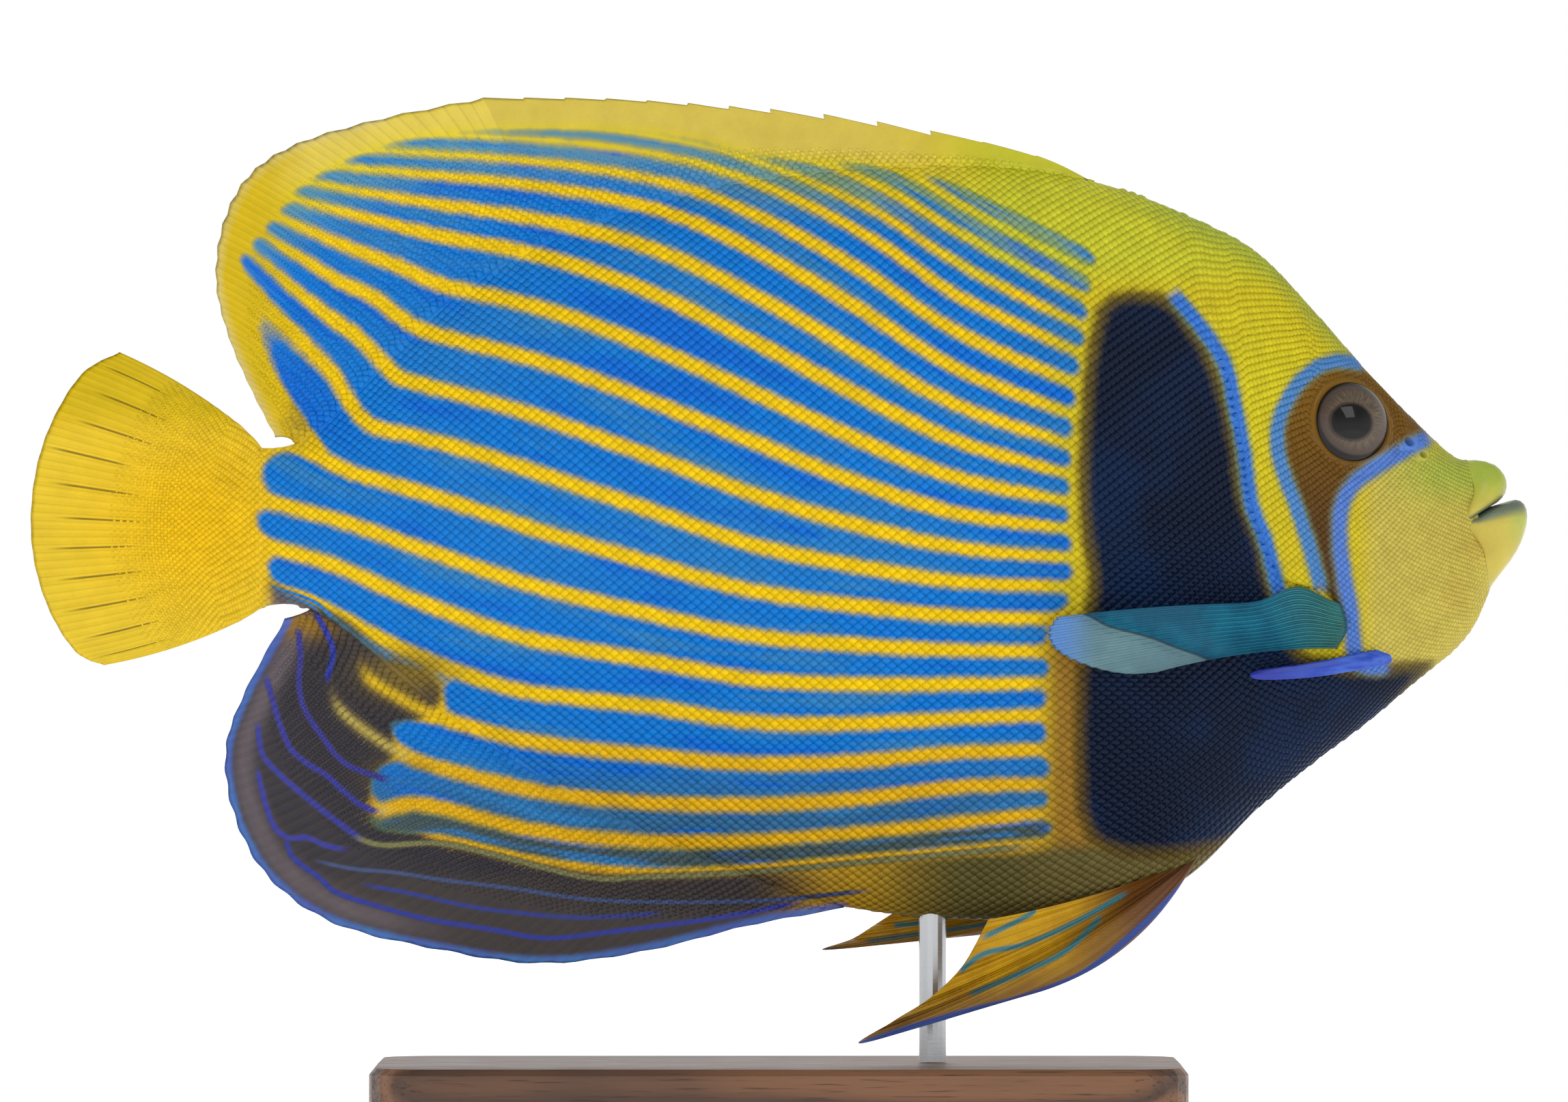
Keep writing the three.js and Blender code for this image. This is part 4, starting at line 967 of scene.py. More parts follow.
def paint_group():
    """The colour of skin and scales from the values of the markings, as a group of shader nodes."""
    tree = bpy.data.node_groups.new("fish_markings", "ShaderNodeTree")
    tree.interface.new_socket("Stroke", in_out="INPUT", socket_type="NodeSocketFloat").default_value = 1
    tree.interface.new_socket("Colour", in_out="OUTPUT", socket_type="NodeSocketColor")
    given, out = tree.nodes.new("NodeGroupInput"), tree.nodes.new("NodeGroupOutput")
    place = node(tree, "TexCoord").outputs["Object"]
    x, _, z = parts_of(tree, place)
    number, width = value_of(tree, "stripe"), value_of(tree, "spacing")
    ragged = times(less(noise(place, 420, 2), 0.5), 1.3)
    along = node(tree, "CombineXYZ", {"X": times(x, 22.0), "Y": times(number, 1.7)}).outputs["Vector"]
    drift = noise(along, 1.0, 3, 0.5)
    # Blue bands lie half way between the whole numbers, and end round where their ground ends
    middle = times(off_middle(number), width)
    yellow = calc("MINIMUM", times(width, 0.42), 3.65)
    half = times(less(width, yellow), 0.5)
    past = calc("MAXIMUM", less(half, value_of(tree, "bands")), 0.0)
    away = plus(less(hypotenuse(middle, past), half), times(ragged, times(given.outputs["Stroke"], 0.8)))
    on_band = ramp(away, 0.95, -0.95)
    blue = blend(ramp(drift, 0.5, 0.68), value_of(tree, "band_blue", "Vector"), (44, 126, 190))
    blue = blend(ramp(drift, 0.46, 0.34), blue, (0, 104, 206))
    worn = plus(times(noise(place, 160, 3), -0.3), 1.14)
    ground_of = value_of(tree, "ground", "Vector")
    warm = node(tree, "HueSaturation", {"Color": ground_of, "Value": worn}).outputs["Color"]
    # A dark seam of mixed paint where a blue band meets its yellow
    seam = times(less(1.0, ramp(calc("ABSOLUTE", away), 0.1, 1.1)), 0.3)
    colour = blend(seam, blend(on_band, warm, blue), (84, 122, 62))
    # The mask, the bar with its brown fringe, and the thin lines
    rough_edge = times(ragged, 1.2)
    brown = blend(ramp(z, 0.168, 0.128), (117, 82, 14), (82, 54, 17))
    colour = blend(ramp(plus(value_of(tree, "mask"), rough_edge), -0.6, 1.6), colour, brown)
    bar_at = plus(value_of(tree, "bar"), rough_edge)
    colour = blend(times(ramp(bar_at, -1.9, 1.0), 0.9), colour, (84, 66, 20))
    navy = blend(ramp(noise(place, 30, 3), 0.4, 0.66), (0, 16, 42), (0, 29, 65))
    colour = blend(ramp(bar_at, 0.2, 4.2), colour, navy)
    for name, lines in LINE_SETS.items():
        gaps_three = parts_of(tree, value_of(tree, name + "_away", "Vector"))
        strength_three = parts_of(tree, value_of(tree, name + "_strength", "Vector"))
        for gap, strength, (_, _, inner, rim) in zip(gaps_three, strength_three, lines):
            gap = plus(calc("ABSOLUTE", gap), times(ragged, 0.35))
            line_tone = blend(ramp(gap, 0.45, 1.25), inner, rim)
            colour = blend(times(ramp(gap, 1.75, 0.5), strength), colour, line_tone)
    # The blue edge of the anal fin
    edge_gap = plus(value_of(tree, "margin"), times(ragged, 0.5))
    edge_tone = blend(ramp(noise(place, 50, 2), 0.35, 0.65), (66, 120, 190), (70, 96, 180))
    colour = blend(times(ramp(edge_gap, 2.6, 0.9), 0.9), colour, edge_tone)
    tree.links.new(colour, out.inputs["Colour"])
    return tree


fish_markings = paint_group()

# The skin's own finish: the painted markings under a satin varnish, with fine grain and fin rays
places = np.empty(len(skin.data.vertices) * 3, np.float32)
skin.data.vertices.foreach_get("co", places)
places = places.reshape(-1, 3) * 1000
take_markings(skin.data, places[:, 0], places[:, 2] - MIDLINE)
column, row = np.empty((2, len(places)), np.float32)
skin.data.attributes["column"].data.foreach_get("value", column)
skin.data.attributes["row"].data.foreach_get("value", row)
in_tail = column < TAIL_COLUMNS - 2
on_back_fin = (row < FIN_ROWS + 0.5) & ~in_tail
on_anal_fin = (row > FIN_ROWS + BODY_ROWS - 1.5) & ~in_tail
across_tail = tail_root(on_rows(row, row_turn))[1]
back_at = on_columns(column, back_u)
ray = np.where(in_tail, across_tail * (TAIL_RAYS - 1), 0.5)
ray = np.where(on_back_fin, np.where(back_at > 1, (back_at - 1) * (SOFT_RAYS - 1), 0.5), ray)
ray = np.where(on_anal_fin, on_columns(column, belly_u) * (ANAL_RAYS - 1), ray)
give(skin.data, "ray", ray)
give(skin.data, "along_ray", np.where(in_tail, 1 - column / TAIL_COLUMNS, on_rows(row, row_out)))
give(skin.data, "in_mouth", smooth(((column - COLUMNS + 1) / LIP_COLUMNS + 0.52) / 0.12))
# Eleven of the tail's rays show as dark lines, each of its own length
TAIL_LINES = 11
give(skin.data, "tail_line", np.where(in_tail, across_tail * (TAIL_LINES + 1), 0))


def material(name):
    """A new material, its shader and the place of a point in its object."""
    made = bpy.data.materials.new(name)
    made.use_nodes = True
    tree = made.node_tree
    return made, tree, tree.nodes["Principled BSDF"], node(tree, "TexCoord").outputs["Object"]


def finish(shader, colour, roughness, relief, strength, depth, specular=0.5, coat=0, coat_roughness=0.03):
    """Gives a shader its colour, roughness and relief under a thin clear coat."""
    tree = shader.id_data
    tree.links.new(colour, shader.inputs["Base Color"])
    tree.links.new(roughness, shader.inputs["Roughness"])
    bump = node(tree, "Bump", {"Height": relief, "Strength": strength, "Distance": depth})
    tree.links.new(bump.outputs["Normal"], shader.inputs["Normal"])
    shader.inputs["Specular IOR Level"].default_value = specular
    shader.inputs["Coat Weight"].default_value = coat
    shader.inputs["Coat Roughness"].default_value = coat_roughness


skin_paint, tree, shader, place = material("skin_paint")
marks = node(tree, "Group", node_tree=fish_markings)
tail_at, reach = value_of(tree, "tail_line"), value_of(tree, "along_ray")
line_at = plus(tail_at, 0.5)
ray_gap = off_middle(line_at)
own_length = node(tree, "TexWhiteNoise", {"W": calc("FLOOR", line_at)}, noise_dimensions="1D")
branch_gap = off_middle(times(value_of(tree, "ray"), 3.0))
line_reach = plus(reach, times(own_length.outputs["Value"], 0.12))
line_share = times(
    ramp(line_reach, 0.52, 0.66), ramp(line_reach, 1.02, 0.86), calc("GREATER_THAN", tail_at, 0.5),
    calc("LESS_THAN", tail_at, TAIL_LINES + 0.5), ramp(ray_gap, 0.05, 0.02), 0.75,
)
web_share = times(ramp(branch_gap, 0.16, 0.0), ramp(reach, 0.02, 0.3), 0.16)
colour = blend(web_share, marks.outputs["Colour"], (96, 70, 20))
colour = blend(line_share, colour, (88, 66, 8))
# The inside of the mouth takes a grey-green of its own, painted darker as painted shade in its hollow
colour = blend(value_of(tree, "in_mouth"), colour, (104, 116, 98))
relief = plus(times(noise(place, 1300, 3), 0.7), times(noise(place, 420, 3), 0.9))
relief = less(relief, times(branch_gap, ramp(reach, 0.02, 0.2), 2.4))
finish(shader, colour, ramp(noise(place, 260), 0.1, 1.3), relief,
       strength=0.3, depth=0.0004, specular=0.18, coat=0.05, coat_roughness=0.25)
skin.data.materials.append(skin_paint)

# The scales: thin overlapping plates on head, body and the lower part of the fins, smallest on the face.
# Each is a closed wedge whose root sits in the skin and whose rear edge stands up. They lie in rings
# round the body, each ring half a scale out of step with the next, and in rows along the fins.
RING_STEP, ROW_STEP = 1.30, 2.22
SCALE_LENGTH, SCALE_WIDTH, SCALE_RISE = 1.38, 1.05, 0.08
SCALES_TO_A_PIECE = 6000
BARE_ROUND_EYE = 10.9
PATCH = 0.0014
# Along the scale and across it in half lengths and half widths, and heights above the skin: first its
# crown, then the rim from the tip round to the root, then the lower rim
CROWN = [(-0.05, 0, 1.5)]
RIM = [
    (1, 0, 2.5), (0.86, 0.46, 2.3), (0.42, 0.9, 1.7), (-0.22, 1, 0.9), (-0.92, 0.6, -0.8), (-1.08, 0, -0.9),
    (-0.92, -0.6, -0.8), (-0.22, -1, 0.9), (0.42, -0.9, 1.7), (0.86, -0.46, 2.3),
]
LOWER_RIM = [
    (1, 0, 1.3), (0.86, 0.46, 1.1), (0.42, 0.9, 0.5), (-0.22, 1, -0.3), (-0.22, -1, -0.3),
    (0.42, -0.9, 0.5), (0.86, -0.46, 1.1),
]
PLATE = np.array(CROWN + RIM + LOWER_RIM)
TOP_FACES = len(RIM)
PLATE_FACES = [(0, 1 + k, 1 + (k + 1) % TOP_FACES) for k in range(TOP_FACES)]
PLATE_FACES += [
    (1, 11, 12, 2), (2, 12, 13, 3), (3, 13, 14, 4), (4, 14, 5), (8, 7, 15), (8, 15, 16, 9), (9, 16, 17, 10),
    (10, 17, 11, 1), (5, 14, 13, 12, 11, 17, 16, 15, 7, 6),
]


def measured(path):
    """How far along a line each of its points lies."""
    return np.concatenate([[0], np.cumsum(np.linalg.norm(np.diff(path, axis=0), axis=1))])


# An even measure along the body: the length of its middle line from the tail to each column
middle_row = FIN_ROWS + (BODY_ROWS - 1) / 2
flank_columns = np.arange(COLUMNS - LIP_COLUMNS).astype(float)
middle_line, _ = skin_point(flank_columns, np.full(len(flank_columns), middle_row))
column_along = measured(middle_line)
FIRST_RING_COLUMN = TAIL_COLUMNS - 25


def column_at(along):
    return np.interp(along, column_along, flank_columns)


# The size of the scales along the fish, smallest on the face
SIZE_PLACES = [-134, -122, -100, -60, 60, 104, 126, 150, 160]
SIZES = [0.62, 0.8, 0.92, 1, 1, 0.9, 0.7, 0.56, 0.5]


def ring_places():
    """Place along the body, row and size of every scale of the body."""
    rows = np.linspace(FIN_ROWS + 0.02, FIN_ROWS + BODY_ROWS - 1.02, 200)
    found, at, ring = [], column_along[-1] - 0.4, 0
    while at > column_along[FIRST_RING_COLUMN]:
        size = np.interp(np.interp(at, column_along, middle_line[:, 0]), SIZE_PLACES, SIZES)
        column = column_at(at)
        round_it = measured(skin_point(np.full(len(rows), column), rows)[0])
        step = ROW_STEP * size
        place = np.interp(middle_row, rows, round_it) + (np.arange(-90, 91) + 0.5 * (ring % 2)) * step
        place = place[(place > 0.25 * step) & (place < round_it[-1] - 0.25 * step)]
        row = np.interp(place, round_it, rows)
        plate = size * np.interp(column, [FIRST_RING_COLUMN, TAIL_COLUMNS - 10], [0.4, 1])
        found.append(np.stack([np.full(len(row), at), row, np.full(len(row), plate)], -1))
        at -= RING_STEP * size
        ring += 1
    return np.concatenate(found)


def fin_places(first, last, base_row, edge_row, cover):
    """The same for a fin, whose scales lie in rows from its base outwards."""
    columns = column_at(np.arange(column_along[first], column_along[last], 0.8))
    rows = np.linspace(base_row, edge_row, 60)
    grid_column, grid_row = np.meshgrid(columns, rows, indexing="ij")
    place = skin_point(grid_column.ravel(), grid_row.ravel())[0].reshape(len(columns), len(rows), 3)
    out = np.array([measured(line) for line in place])
    reach = out[:, -1] * np.interp(columns, *cover)
    found, distance, count = [], 0.5, 0
    while distance < reach.max():
        size = 0.86 - 0.24 * distance / reach.max()
        row = np.array([np.interp(distance, line, rows) for line in out])
        path = [[np.interp(distance, line, axis) for axis in points.T] for line, points in zip(out, place)]
        along = measured(path)
        spots = np.arange(0.5 + 0.5 * ROW_STEP * size * (count % 2), along[-1], ROW_STEP * size)
        column = np.interp(np.interp(spots, along, columns), flank_columns, column_along)
        share = distance / np.maximum(np.interp(spots, along, reach), 0.1)
        plate = size * (1 - 0.62 * np.clip(share, 0, 1) ** 2.5)
        found.append(np.stack([column, np.interp(spots, along, row), plate], -1)[share < 1])
        distance += RING_STEP * size
        count += 1
    return np.concatenate(found)


def scale_plates(places, towards):
    """The points of all plates on the right side, y as the half breadth, with their sway."""
    along, row, size = places.T
    column = column_at(along)
    by_along = (skin_point(column_at(along + 0.4), row)[0] - skin_point(column_at(along - 0.4), row)[0]) / 0.8
    by_row = (skin_point(column, row + 0.3)[0] - skin_point(column, row - 0.3)[0]) / 0.6
    normal = np.cross(by_along, by_row)
    normal *= np.sign(normal[:, 1])[:, None]
    normal /= np.linalg.norm(normal, axis=1, keepdims=True)
    lead = by_along * towards[0] + by_row * towards[1]
    lead /= np.linalg.norm(lead, axis=1, keepdims=True)
    side = np.cross(normal, lead)
    cc, rr, cr = (by_along ** 2).sum(1), (by_row ** 2).sum(1), (by_along * by_row).sum(1)
    area = np.maximum(cc * rr - cr * cr, 1e-6)
    # Where the rings stand further apart than on the middle line, as on the forehead, scales are longer
    stretch = np.clip(np.sqrt(area / rr), 0.8, 1.7) if towards[1] == 0 else np.ones(len(size))
    step = lead[:, None] * (PLATE[:, 0] * SCALE_LENGTH)[None, :, None] * stretch[:, None, None]
    step = (step + side[:, None] * (PLATE[:, 1] * SCALE_WIDTH)[None, :, None]) * size[:, None, None]
    on_along, on_row = (step * by_along[:, None]).sum(2), (step * by_row[:, None]).sum(2)
    shift_along = (rr[:, None] * on_along - cr[:, None] * on_row) / area[:, None]
    shift_row = (cc[:, None] * on_row - cr[:, None] * on_along) / area[:, None]
    new_column = column_at(along[:, None] + np.clip(shift_along, -5, 5))
    new_row = np.clip(row[:, None] + np.clip(shift_row, -4, 4), 0.3, ROWS - 1.3)
    point, sway = skin_point(new_column.ravel(), new_row.ravel())
    point = point.reshape(len(places), len(PLATE), 3)
    point = point + normal[:, None] * (PLATE[:, 2] * SCALE_RISE)[None, :, None] * size[:, None, None]
    return point, sway.reshape(len(places), len(PLATE))


def lay_scales(name, places, point, sway, is_left):
    """One piece of the coat on one side."""
    count = len(places)
    flat = point.reshape(-1, 3).copy()
    flat[:, 1] = flat[:, 1] * (1 if is_left else -1) + sway.ravel()
    faces = [face[::-1] for face in PLATE_FACES] if is_left else PLATE_FACES
    loops = np.concatenate(faces)
    sizes = np.array([len(face) for face in faces])
    starts = np.concatenate([[0], np.cumsum(sizes)[:-1]])
    data = bpy.data.meshes.new(name)
    data.vertices.add(len(flat))
    data.vertices.foreach_set("co", ((flat + [0, 0, MIDLINE]) * MM).astype(np.float32).ravel())
    data.loops.add(len(loops) * count)
    corner = (loops[None] + (np.arange(count) * len(PLATE))[:, None]).ravel()
    data.loops.foreach_set("vertex_index", corner.astype(np.int32))
    data.polygons.add(len(faces) * count)
    starts = (starts[None] + (np.arange(count) * len(loops))[:, None]).ravel()
    data.polygons.foreach_set("loop_start", starts.astype(np.int32))
    data.update(calc_edges=True)
    data.polygons.foreach_set("use_smooth", np.tile(np.arange(len(faces)) < TOP_FACES, count))
    take_markings(data, flat[:, 0], flat[:, 2])
    random = np.random.default_rng(len(name) + count)
    give(data, "tone", np.repeat(random.random(count), len(PLATE)))
    rim = np.clip(np.where(PLATE[:, 0] > -0.5, np.hypot(PLATE[:, 0] + 0.05, PLATE[:, 1] * 0.9), 0.2), 0, 1)
    give(data, "rim", np.tile(rim, count))
    # A small patch for each scale at its root's place on the skin laid out flat
    root_u = places[:, 0] / column_along[-1] * 0.98 + 0.01
    root_v = 0.01 + 0.48 * (1 - places[:, 1] / ROWS) + (0.5 if is_left else 0)
    patch = np.stack([root_u[:, None] - PLATE[:, 0] * PATCH, root_v[:, None] + PLATE[:, 1] * PATCH], -1)
    patch = patch.reshape(-1, 2)[corner].astype(np.float32)
    data.uv_layers.new(name="OFBake").data.foreach_set("uv", patch.ravel())
    data.materials.append(scale_paint)
    piece = placed(name, data)
    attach(piece, "root")


scale_paint, tree, shader, place = material("scale_paint")
marks = node(tree, "Group", node_tree=fish_markings)
tone = value_of(tree, "tone")
# Each scale's brightness varies at random from scale to scale, and each scale is painted darker towards its
# rim as painted shade along its raised edge
scale_tone_and_rim_shade = less(plus(times(tone, 0.14), 0.96), times(ramp(value_of(tree, "rim"), 0.72, 1.0), 0.08))
toned = node(tree, "HueSaturation", {"Color": marks.outputs["Colour"], "Value": scale_tone_and_rim_shade}).outputs["Color"]
finish(shader, toned, plus(times(tone, 0.12), 0.34), noise(place, 1700, 2),
       strength=0.1, depth=0.0003, specular=0.15, coat=0.05, coat_roughness=0.22)

body_places = ring_places()
spot_on, _ = skin_point(column_at(body_places[:, 0]), body_places[:, 1])
bare = (np.linalg.norm(spot_on - eye_middle, axis=1) < BARE_ROUND_EYE) | near_nostril(spot_on, 2.1)
first, last = back_columns.start + 1, back_columns.stop - 1
back_cover = ([first, first + 12, first + 70, first + 100, last], [0.5, 0.82, 0.82, 0.5, 0.25])
back_places = fin_places(first, last, FIN_ROWS + 1.2, 0.5, back_cover)
first, last = np.nonzero(has_anal_fin)[0][[0, -1]]
anal_cover = ([first, first + 10, last], [0.5, 0.78, 0.5])
anal_places = fin_places(first + 1, last - 1, FIN_ROWS + BODY_ROWS - 2.2, ROWS - 1.5, anal_cover)
for places, towards, name in (
    (body_places[~bare], (-1, 0), "body_scales"), (back_places, (-0.45, -1), "back_fin_scales"),
    (anal_places, (-0.45, 1), "anal_fin_scales"),
):
    point, sway = scale_plates(places, towards)
    for side_name in ("right", "left"):
        for first in range(0, len(places), SCALES_TO_A_PIECE):
            chosen = slice(first, first + SCALES_TO_A_PIECE)
            label = f"{name}_{side_name}_{first // SCALES_TO_A_PIECE + 1}"
            lay_scales(label, places[chosen], point[chosen], sway[chosen], side_name == "left")

# The eyes: polished balls set in the skin, with a grey-brown iris round a black, slightly oval pupil
# that looks a little forwards of the middle, and a clear gloss over both.
EYE_SIZE = (10.2, 7.4, 10.7)
EYE_SUNK = 3.45
EYE_BULGE = 0.7
PUPIL = (-1.5, -1.2, 4.7, 4.1)

eye_glass, tree, shader, _ = material("eye_glass")
ahead, above = value_of(tree, "ahead"), value_of(tree, "above")
pupil_x = calc("DIVIDE", less(ahead, PUPIL[0]), PUPIL[2])
pupil_y = calc("DIVIDE", less(above, PUPIL[1]), PUPIL[3])
pupil_gap, whole = hypotenuse(pupil_x, pupil_y), hypotenuse(ahead, above)
round_it = times(calc("ARCTAN2", pupil_y, pupil_x), 9.0)
rays = noise(node(tree, "CombineXYZ", {"X": round_it, "Y": pupil_gap}).outputs["Vector"], 1.6, 4, 0.6)
iris = blend(ramp(rays, 0.3, 0.72), (74, 62, 50), (108, 94, 76))
iris = blend(ramp(whole, 5.6, 8.6), iris, (72, 58, 50))
iris = blend(times(ramp(pupil_gap, 1.22, 1.08), 0.8), iris, (44, 34, 28))
iris = blend(ramp(whole, 8.15, 8.75), iris, (16, 12, 12))
iris = blend(ramp(pupil_gap, 1.07, 0.97), iris, (4, 4, 6))
tree.links.new(iris, shader.inputs["Base Color"])
tree.links.new(ramp(rays, -1.6, 3.0), shader.inputs["Roughness"])
shader.inputs["Specular IOR Level"].default_value = 0.08
shader.inputs["Coat Weight"].default_value = 1
shader.inputs["Coat IOR"].default_value = 1.34

for word, side in (("right", -1), ("left", 1)):
    eye_mesh = bmesh.new()
    bmesh.ops.create_uvsphere(eye_mesh, u_segments=96, v_segments=64, radius=1)
    ahead_layer, above_layer = (eye_mesh.verts.layers.float.new(key) for key in ("ahead", "above"))
    for vert in eye_mesh.verts:
        ahead, above, out = vert.co.x * EYE_SIZE[0], vert.co.y * EYE_SIZE[2], vert.co.z * EYE_SIZE[1]
        # The clear front bulges over the pupil
        from_pupil = (ahead - PUPIL[0]) ** 2 + (above - PUPIL[1]) ** 2
        bulge = EYE_BULGE * math.exp(-from_pupil / 26) * max(0, vert.co.z)
        at = eye_middle - eye_out * EYE_SUNK + eye_forward * ahead + eye_up * above + eye_out * (out + bulge)
        vert[ahead_layer], vert[above_layer] = ahead, above
        vert.co = (at[0] * MM, side * at[1] * MM, (MIDLINE + at[2]) * MM)
    bmesh.ops.recalc_face_normals(eye_mesh, faces=eye_mesh.faces)
    eye = finished(eye_mesh, f"eye_ball_{word}", eye_glass)
    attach(eye, "root")
    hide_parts(f"eye_{word}")

# The paired fins: thin webs over bony rays, thick at the root where they grow out of the flank. Each is
# a leaf of two faces, shaped from a grid whose one way runs across the rays and the other along them.
PECTORAL_ROOT = [(131.0, -17.8), (132.6, -23.4), (130.2, -28.0)]
PECTORAL_EDGE = [
    (64.4, -20.6), (62.5, -23.8), (63.4, -27.2), (67.5, -30.2), (74, -32.6), (81, -33.8), (88, -33.4),
]
PECTORAL_RAYS = 17
RIGHT_PELVIC_ROOT = [(98, -76.5), (94.5, -78.6), (88.5, -80.5)]
RIGHT_PELVIC_EDGE = [(54.3, -109.8), (19.9, -120), (26.5, -115), (35.4, -109.4), (43, -101.8), (48.9, -91.2)]
LEFT_PELVIC_ROOT = [(97.5, -78), (93.5, -78), (89, -78)]
LEFT_PELVIC_EDGE = [(38, -96.2), (11, -99), (17.5, -96.2), (23.5, -92.4), (31, -88), (42, -84.5)]
PELVIC_RAYS = 6
# Half the thickness of the pectoral and of the pelvic fin at their roots
PAIRED_ROOT_HALF = 1.5, 1.7
# The pale lobe of the pectoral lies below this line, and the pelvic fins carry blue-green streaks
PECTORAL_FOLD = [(1540, 880), (1592, 901), (1621, 916), (1677, 931), (1719, 947), (1760, 962), (1810, 990)]
PELVIC_LINES = [
    ([(1660, 1284), (1580, 1303), (1515, 1322), (1508, 1336), (1440, 1370)], 0.62),
    ([(1645, 1308), (1570, 1350), (1500, 1380), (1440, 1394), (1405, 1420)], 0.62),
    ([(1610, 1342), (1560, 1390), (1500, 1420), (1420, 1453)], 0.62),
]
PELVIC_FRONT = [
    (1758, 1270), (1672, 1353), (1596, 1416), (1545, 1441), (1480, 1463), (1407, 1481), (1324, 1505),
    (1262, 1526),
]
FAR_PELVIC_LINES = [
    ([(1460, 1330), (1405, 1340), (1350, 1352), (1310, 1356)], 0.6),
    ([(1480, 1348), (1400, 1361), (1330, 1371), (1270, 1380)], 0.55),
    ([(1490, 1320), (1430, 1326), (1385, 1331)], 0.45),
]
FAR_PELVIC_FRONT = [(1700, 1268), (1600, 1330), (1500, 1368), (1380, 1390), (1290, 1396), (1205, 1396)]

side_s, side_turn = np.meshgrid(np.linspace(0.3, 1, 260), np.linspace(-1.5, 0.6, 220), indexing="ij")
side_of_body = body_point(side_s.ravel(), side_turn.ravel())


def half_breadth(x, h):
    """Half the breadth of the body at places of the side view."""
    nearest = [np.argmin((side_of_body[:, 0] - a) ** 2 + (side_of_body[:, 2] - b) ** 2) for a, b in zip(x, h)]
    return side_of_body[nearest, 1]


def pectoral(u, v):
    place = along_ray(through(PECTORAL_ROOT, u), through(PECTORAL_EDGE, u), np.full(len(u), 1.6), v)
    place[:, 0] += 0.5 * (1 - ray_swell(u, PECTORAL_RAYS, 0.5)) * v ** 6
    place[:, 1] += 3.9 * (1 - u) ** 1.4 * np.exp(-((v - 0.15) / 0.1) ** 2)
    out = 13 + 21 * np.sin((np.pi / 2) * np.minimum(1, v * 1.25)) - 3 * u - 2.5 * v ** 3
    held = v < 0.35
    skin_out = np.zeros(len(u))
    skin_out[held] = half_breadth(place[held, 0], place[held, 1])
    near = smooth(1 - v / 0.34)
    out = np.where(held, out + (np.maximum(skin_out + 0.9 + 9 * v, out) - out) * np.maximum(near, 0.0), out)
    fold_line = line_distance(from_drawing(PECTORAL_FOLD), place[:, 0], place[:, 1], 40)[0]
    # The web is creased along the fold, and its pale lobe turns away from the viewer
    out = out - 1.5 * np.exp(-(fold_line / 1.6) ** 2) - 0.10 * np.maximum(-fold_line, 0)
    fine = 0.5 * ray_swell(u, 2 * PECTORAL_RAYS - 1, 0.5) * smooth((v - 0.4) / 0.2)
    swell = 0.34 * np.maximum(ray_swell(u, PECTORAL_RAYS, 0.4), fine)
    half = membrane(PAIRED_ROOT_HALF[0], v) + swell * (1 - 0.5 * v)
    close = (1 - np.abs(2 * u - 1) ** 14) ** 0.5 * (1 - v ** 30) ** 0.5 * (1 - (1 - v) ** 60) ** 0.5
    return place, half * close, out


def pelvic(root, edge, bow):
    """The shape of one pelvic fin."""
    def shape(u, v):
        place = along_ray(through(root, u), through(edge, u), bow * (1 - u) ** 2 - 1, v)
        out = 4 + 2 * u + 11 * v - 4 * u * v + 0.5 * np.cos(2 * np.pi * u * (PELVIC_RAYS - 1)) * v
        spine = 0.8 * np.exp(-(u / 0.05) ** 2) * (1 - v)
        fine = 0.45 * ray_swell(u, 4 * PELVIC_RAYS - 3, 0.5)
        swell = 0.45 * np.maximum(ray_swell(u, PELVIC_RAYS, 0.28), fine) + spine
        half = membrane(PAIRED_ROOT_HALF[1], v) + swell * (1 - 0.6 * v)
        close = (1 - np.abs(2 * u - 1) ** 18) ** 0.5 * (1 - v ** 24) ** 0.5 * (1 - (1 - v) ** 40) ** 0.5
        return place, half * close, out
    return shape


def pectoral_marks(x, h):
    """The distance of each point from the fold."""
    return {"fold": line_distance(from_drawing(PECTORAL_FOLD), x, h)[0]}


def pelvic_marks(lines, front):
    """The distances from the streaks of a pelvic fin and from its front edge."""
    def marks(x, h):
        found = [line_distance(from_drawing(points), x, h) for points, _ in lines]
        away = [gap / width for (gap, _), (_, width) in zip(found, lines)]
        strength = [smooth(at / 0.1 + 0.5) * smooth((1 - at) / 0.1 + 0.5) for _, at in found]
        return {
            "front": np.abs(line_distance(from_drawing(front), x, h, open_ends=False)[0]),
            "streak_away": np.stack(away, -1),
            "streak_strength": np.stack(strength, -1),
        }
    return marks


def leaf(name, shape, cells, side, marks, paint):
    """A fin of two faces, with the places of its marks."""
    made = bmesh.new()
    bmesh.ops.create_grid(made, x_segments=cells[0], y_segments=cells[1], size=1)
    grid = np.array([vert.co[:2] for vert in made.verts])
    u, v = np.clip(np.round((grid.T + 1) / 2, 6), 0, 1)
    v = v ** 0.92
    place, half, out = shape(u, v)
    values = {"across": u, "outward": v, "middle": out} | marks(place[:, 0], place[:, 1])
    kinds = made.verts.layers.float, made.verts.layers.float_vector
    layers = {key: kinds[value.ndim - 1].new(key) for key, value in values.items()}
    for k, vert in enumerate(made.verts):
        vert.co = (place[k, 0] * MM, -half[k] * MM, (MIDLINE + place[k, 1]) * MM)
        for key, layer in layers.items():
            vert[layer] = values[key][k]
    mirrored(made, WELD)
    for vert in made.verts:
        vert.co.y += side * vert[layers["middle"]] * MM
    return finished(made, name, paint)


WEB_GLOSS = {"strength": 0.5, "depth": 0.0006, "specular": 0.2, "coat": 0.08, "coat_roughness": 0.25}
RAY_JOINTS = 46.0


